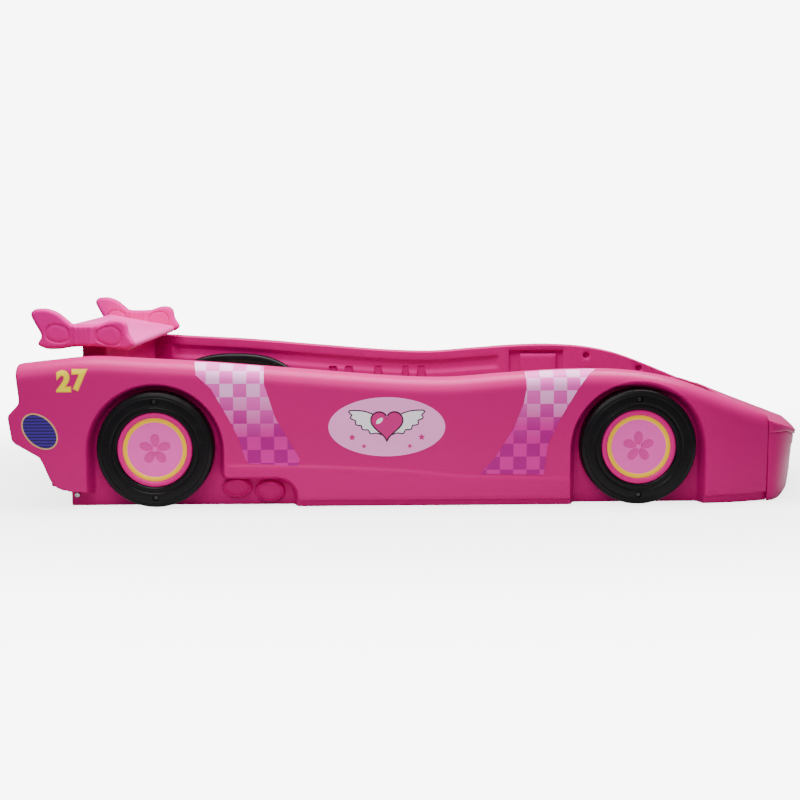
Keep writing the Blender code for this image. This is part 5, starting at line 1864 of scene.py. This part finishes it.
# ---- Stage ---------------------------------------------------------------------------------------
def area_light(name, place, target, size, power, tint=(1.0, 1.0, 1.0)):
    """A soft square light that faces a target."""
    light = bpy.data.lights.new(name, "AREA")
    light.shape = "RECTANGLE"
    light.size, light.size_y = size
    light.energy = power
    light.color = tint
    obj = bpy.data.objects.new(name, light)
    obj.location = place
    obj.rotation_euler = (Vector(target) - Vector(place)).to_track_quat("-Z", "Y").to_euler()
    bpy.context.scene.collection.objects.link(obj)
    return obj


def floor_look():
    """Pale studio floor with faint mottling, which fades out towards its edge."""
    look = Look("studio_floor", Specular_IOR_Level=0.1)
    cloud = look.noise(2.0, 4.0)
    base = look.mix(cloud, rgba((0.90, 0.90, 0.90)), rgba((0.94, 0.94, 0.94)))
    look.set(Base_Color=base, Roughness=cloud * 0.1 + 0.6)
    along, across, _ = look.axes()
    reach = (along * along * 0.35 + across * across).math("SQRT")
    fade = reach.step(0.6, 2.2) * 0.6 + 0.4
    clear = look.node("ShaderNodeBsdfTransparent")
    surface = Value(look, look.shader.outputs[0])
    mixed = look.node("ShaderNodeMixShader", {}, {0: fade, 1: surface, 2: clear})
    look.tree.links.new(mixed.socket, look.tree.nodes["Material Output"].inputs["Surface"])
    return look.material


def studio_world(ambient, backdrop):
    """A dim even surround whose backdrop shows bright behind the bed."""
    world = bpy.data.worlds.new("studio")
    world.use_nodes = True
    tree = world.node_tree
    tree.nodes["Background"].inputs["Strength"].default_value = ambient
    tree.nodes["Background"].inputs["Color"].default_value = (1.0, 1.0, 1.0, 1.0)
    bright = tree.nodes.new("ShaderNodeBackground")
    bright.inputs["Color"].default_value = (1.0, 1.0, 1.0, 1.0)
    bright.inputs["Strength"].default_value = backdrop
    seen = tree.nodes.new("ShaderNodeLightPath")
    mixed = tree.nodes.new("ShaderNodeMixShader")
    tree.links.new(seen.outputs["Is Camera Ray"], mixed.inputs[0])
    tree.links.new(tree.nodes["Background"].outputs[0], mixed.inputs[1])
    tree.links.new(bright.outputs[0], mixed.inputs[2])
    tree.links.new(mixed.outputs[0], tree.nodes["World Output"].inputs["Surface"])
    bpy.context.scene.world = world


def build_stage():
    """A pale floor, a white surround, soft lights and the camera beside the bed."""
    made = bmesh.new()
    bmesh.ops.create_grid(made, x_segments=1, y_segments=1, size=6.0)
    mesh = bpy.data.meshes.new("floor")
    made.to_mesh(mesh)
    made.free()
    floor = bpy.data.objects.new("floor", mesh)
    floor.location = (0.0, 0.0, -0.0005)
    floor.data.materials.append(floor_look())
    bpy.context.scene.collection.objects.link(floor)
    studio_world(0.30, 8.0)
    area_light("overhead", (0.1, -0.3, 2.4), (0.0, 0.0, 0.2), (3.4, 1.4), 240.0)
    area_light("front", (-0.8, -3.6, 2.7), (0.0, 0.0, 0.2), (2.6, 1.4), 58.0)
    camera = bpy.data.cameras.new("camera")
    camera.lens = 61.25
    camera.sensor_width = 36.0
    camera.dof.use_dof = False
    obj = bpy.data.objects.new("camera", camera)
    yaw, pitch, roll = math.radians(1.134), math.radians(6.331), math.radians(-0.199)
    obj.location = (-0.1537, -4.4628, 0.7410)
    turn = Matrix.Rotation(-yaw, 4, "Z") @ Matrix.Rotation(0.5 * math.pi - pitch, 4, "X")
    obj.rotation_euler = (turn @ Matrix.Rotation(roll, 4, "Z")).to_euler()
    bpy.context.scene.collection.objects.link(obj)
    bpy.context.scene.camera = obj
    return [floor]


# ---- Operators and panel -------------------------------------------------------------------------
class BuildStep:
    """Shared parts of the operators: each runs one builder."""

    bl_options = {"REGISTER", "UNDO"}
    builders = ()

    def execute(self, context):
        """Build the pieces, and fail if any is missing."""
        for builder in self.builders:
            pieces = builder()
            if not pieces:
                raise RuntimeError(f"{builder.__name__} made nothing")
        return {"FINISHED"}


def build_wheels():
    """The tyres and hub caps of all four wheels."""
    pieces = []
    for end in WHEEL_X:
        pieces += build_tyre(end)
        pieces += build_hub_cap(end)
    return pieces


class BED_OT_side_panels(BuildStep, bpy.types.Operator):
    """Build the moulded side panels: outer skins, inner walls and wheel-housing covers"""

    bl_idname = "bed.side_panels"
    bl_label = "Side Panels"
    builders = (build_side_shell, build_pipes, build_side_liner, build_housing_cover)


class BED_OT_wheels(BuildStep, bpy.types.Operator):
    """Build the tyres and hub caps"""

    bl_idname = "bed.wheels"
    bl_label = "Wheels"
    builders = (build_wheels,)


class BED_OT_bolts(BuildStep, bpy.types.Operator):
    """Build the wheel and corner bolts"""

    bl_idname = "bed.bolts"
    bl_label = "Bolts"
    builders = (build_bolts,)


class BED_OT_spoiler(BuildStep, bpy.types.Operator):
    """Build the headboard, the wing and the bow-shaped end plates"""

    bl_idname = "bed.spoiler"
    bl_label = "Headboard and Spoiler"
    builders = (build_headboard, build_wing, build_bow)


class BED_OT_nose(BuildStep, bpy.types.Operator):
    """Build the hood, the bumper, the lamps and the grille"""

    bl_idname = "bed.nose"
    bl_label = "Nose"
    builders = (build_hood, build_bumper)


class BED_OT_cross_panels(BuildStep, bpy.types.Operator):
    """Build the tail panel and the foot panel"""

    bl_idname = "bed.cross_panels"
    bl_label = "Cross Panels"
    builders = (build_tail_panel, build_foot_panel)


class BED_OT_deck(BuildStep, bpy.types.Operator):
    """Finish the rails, the centre beam and the slats"""

    bl_idname = "bed.deck"
    bl_label = "Deck"
    builders = (build_deck,)


class BED_OT_stickers(BuildStep, bpy.types.Operator):
    """Add the race number, the vents, the badges and the checks"""

    bl_idname = "bed.stickers"
    bl_label = "Stickers"
    builders = (build_number, build_vent, build_badge, build_checks)


class BED_OT_stage(BuildStep, bpy.types.Operator):
    """Set up the floor, the lights and the camera"""

    bl_idname = "bed.stage"
    bl_label = "Stage"
    builders = (build_stage,)


STEPS = (
    BED_OT_side_panels, BED_OT_wheels, BED_OT_bolts, BED_OT_spoiler, BED_OT_nose, BED_OT_cross_panels,
    BED_OT_deck, BED_OT_stickers, BED_OT_stage,
)


class VIEW3D_PT_toddler_bed(bpy.types.Panel):
    """Sidebar panel with the bed's settings and its build steps"""

    bl_idname = "VIEW3D_PT_toddler_bed"
    bl_label = "Toddler Bed"
    bl_space_type = "VIEW_3D"
    bl_region_type = "UI"
    bl_category = "Toddler Bed"

    def draw(self, context):
        """List the settings, then one button for each step."""
        for settings in (context.scene.bed_sizes, context.scene.bed_colours):
            box = self.layout.box()
            for name in settings.bl_rna.properties.keys():
                if name not in ("rna_type", "name"):
                    box.prop(settings, name)
        for step in STEPS:
            self.layout.operator(step.bl_idname)


CLASSES = (BedColours, BedSizes, *STEPS, VIEW3D_PT_toddler_bed)


def register():
    """Add the classes and the scene's settings."""
    for cls in CLASSES:
        bpy.utils.register_class(cls)
    bpy.types.Scene.bed_colours = bpy.props.PointerProperty(type=BedColours)
    bpy.types.Scene.bed_sizes = bpy.props.PointerProperty(type=BedSizes)


def unregister():
    """Remove the settings and the classes."""
    del bpy.types.Scene.bed_sizes
    del bpy.types.Scene.bed_colours
    for cls in reversed(CLASSES):
        bpy.utils.unregister_class(cls)


def main():
    """Build everything in order."""
    register()
    for step in STEPS:
        group, action = step.bl_idname.split(".")
        getattr(getattr(bpy.ops, group), action)()


if __name__ == "__main__":
    main()
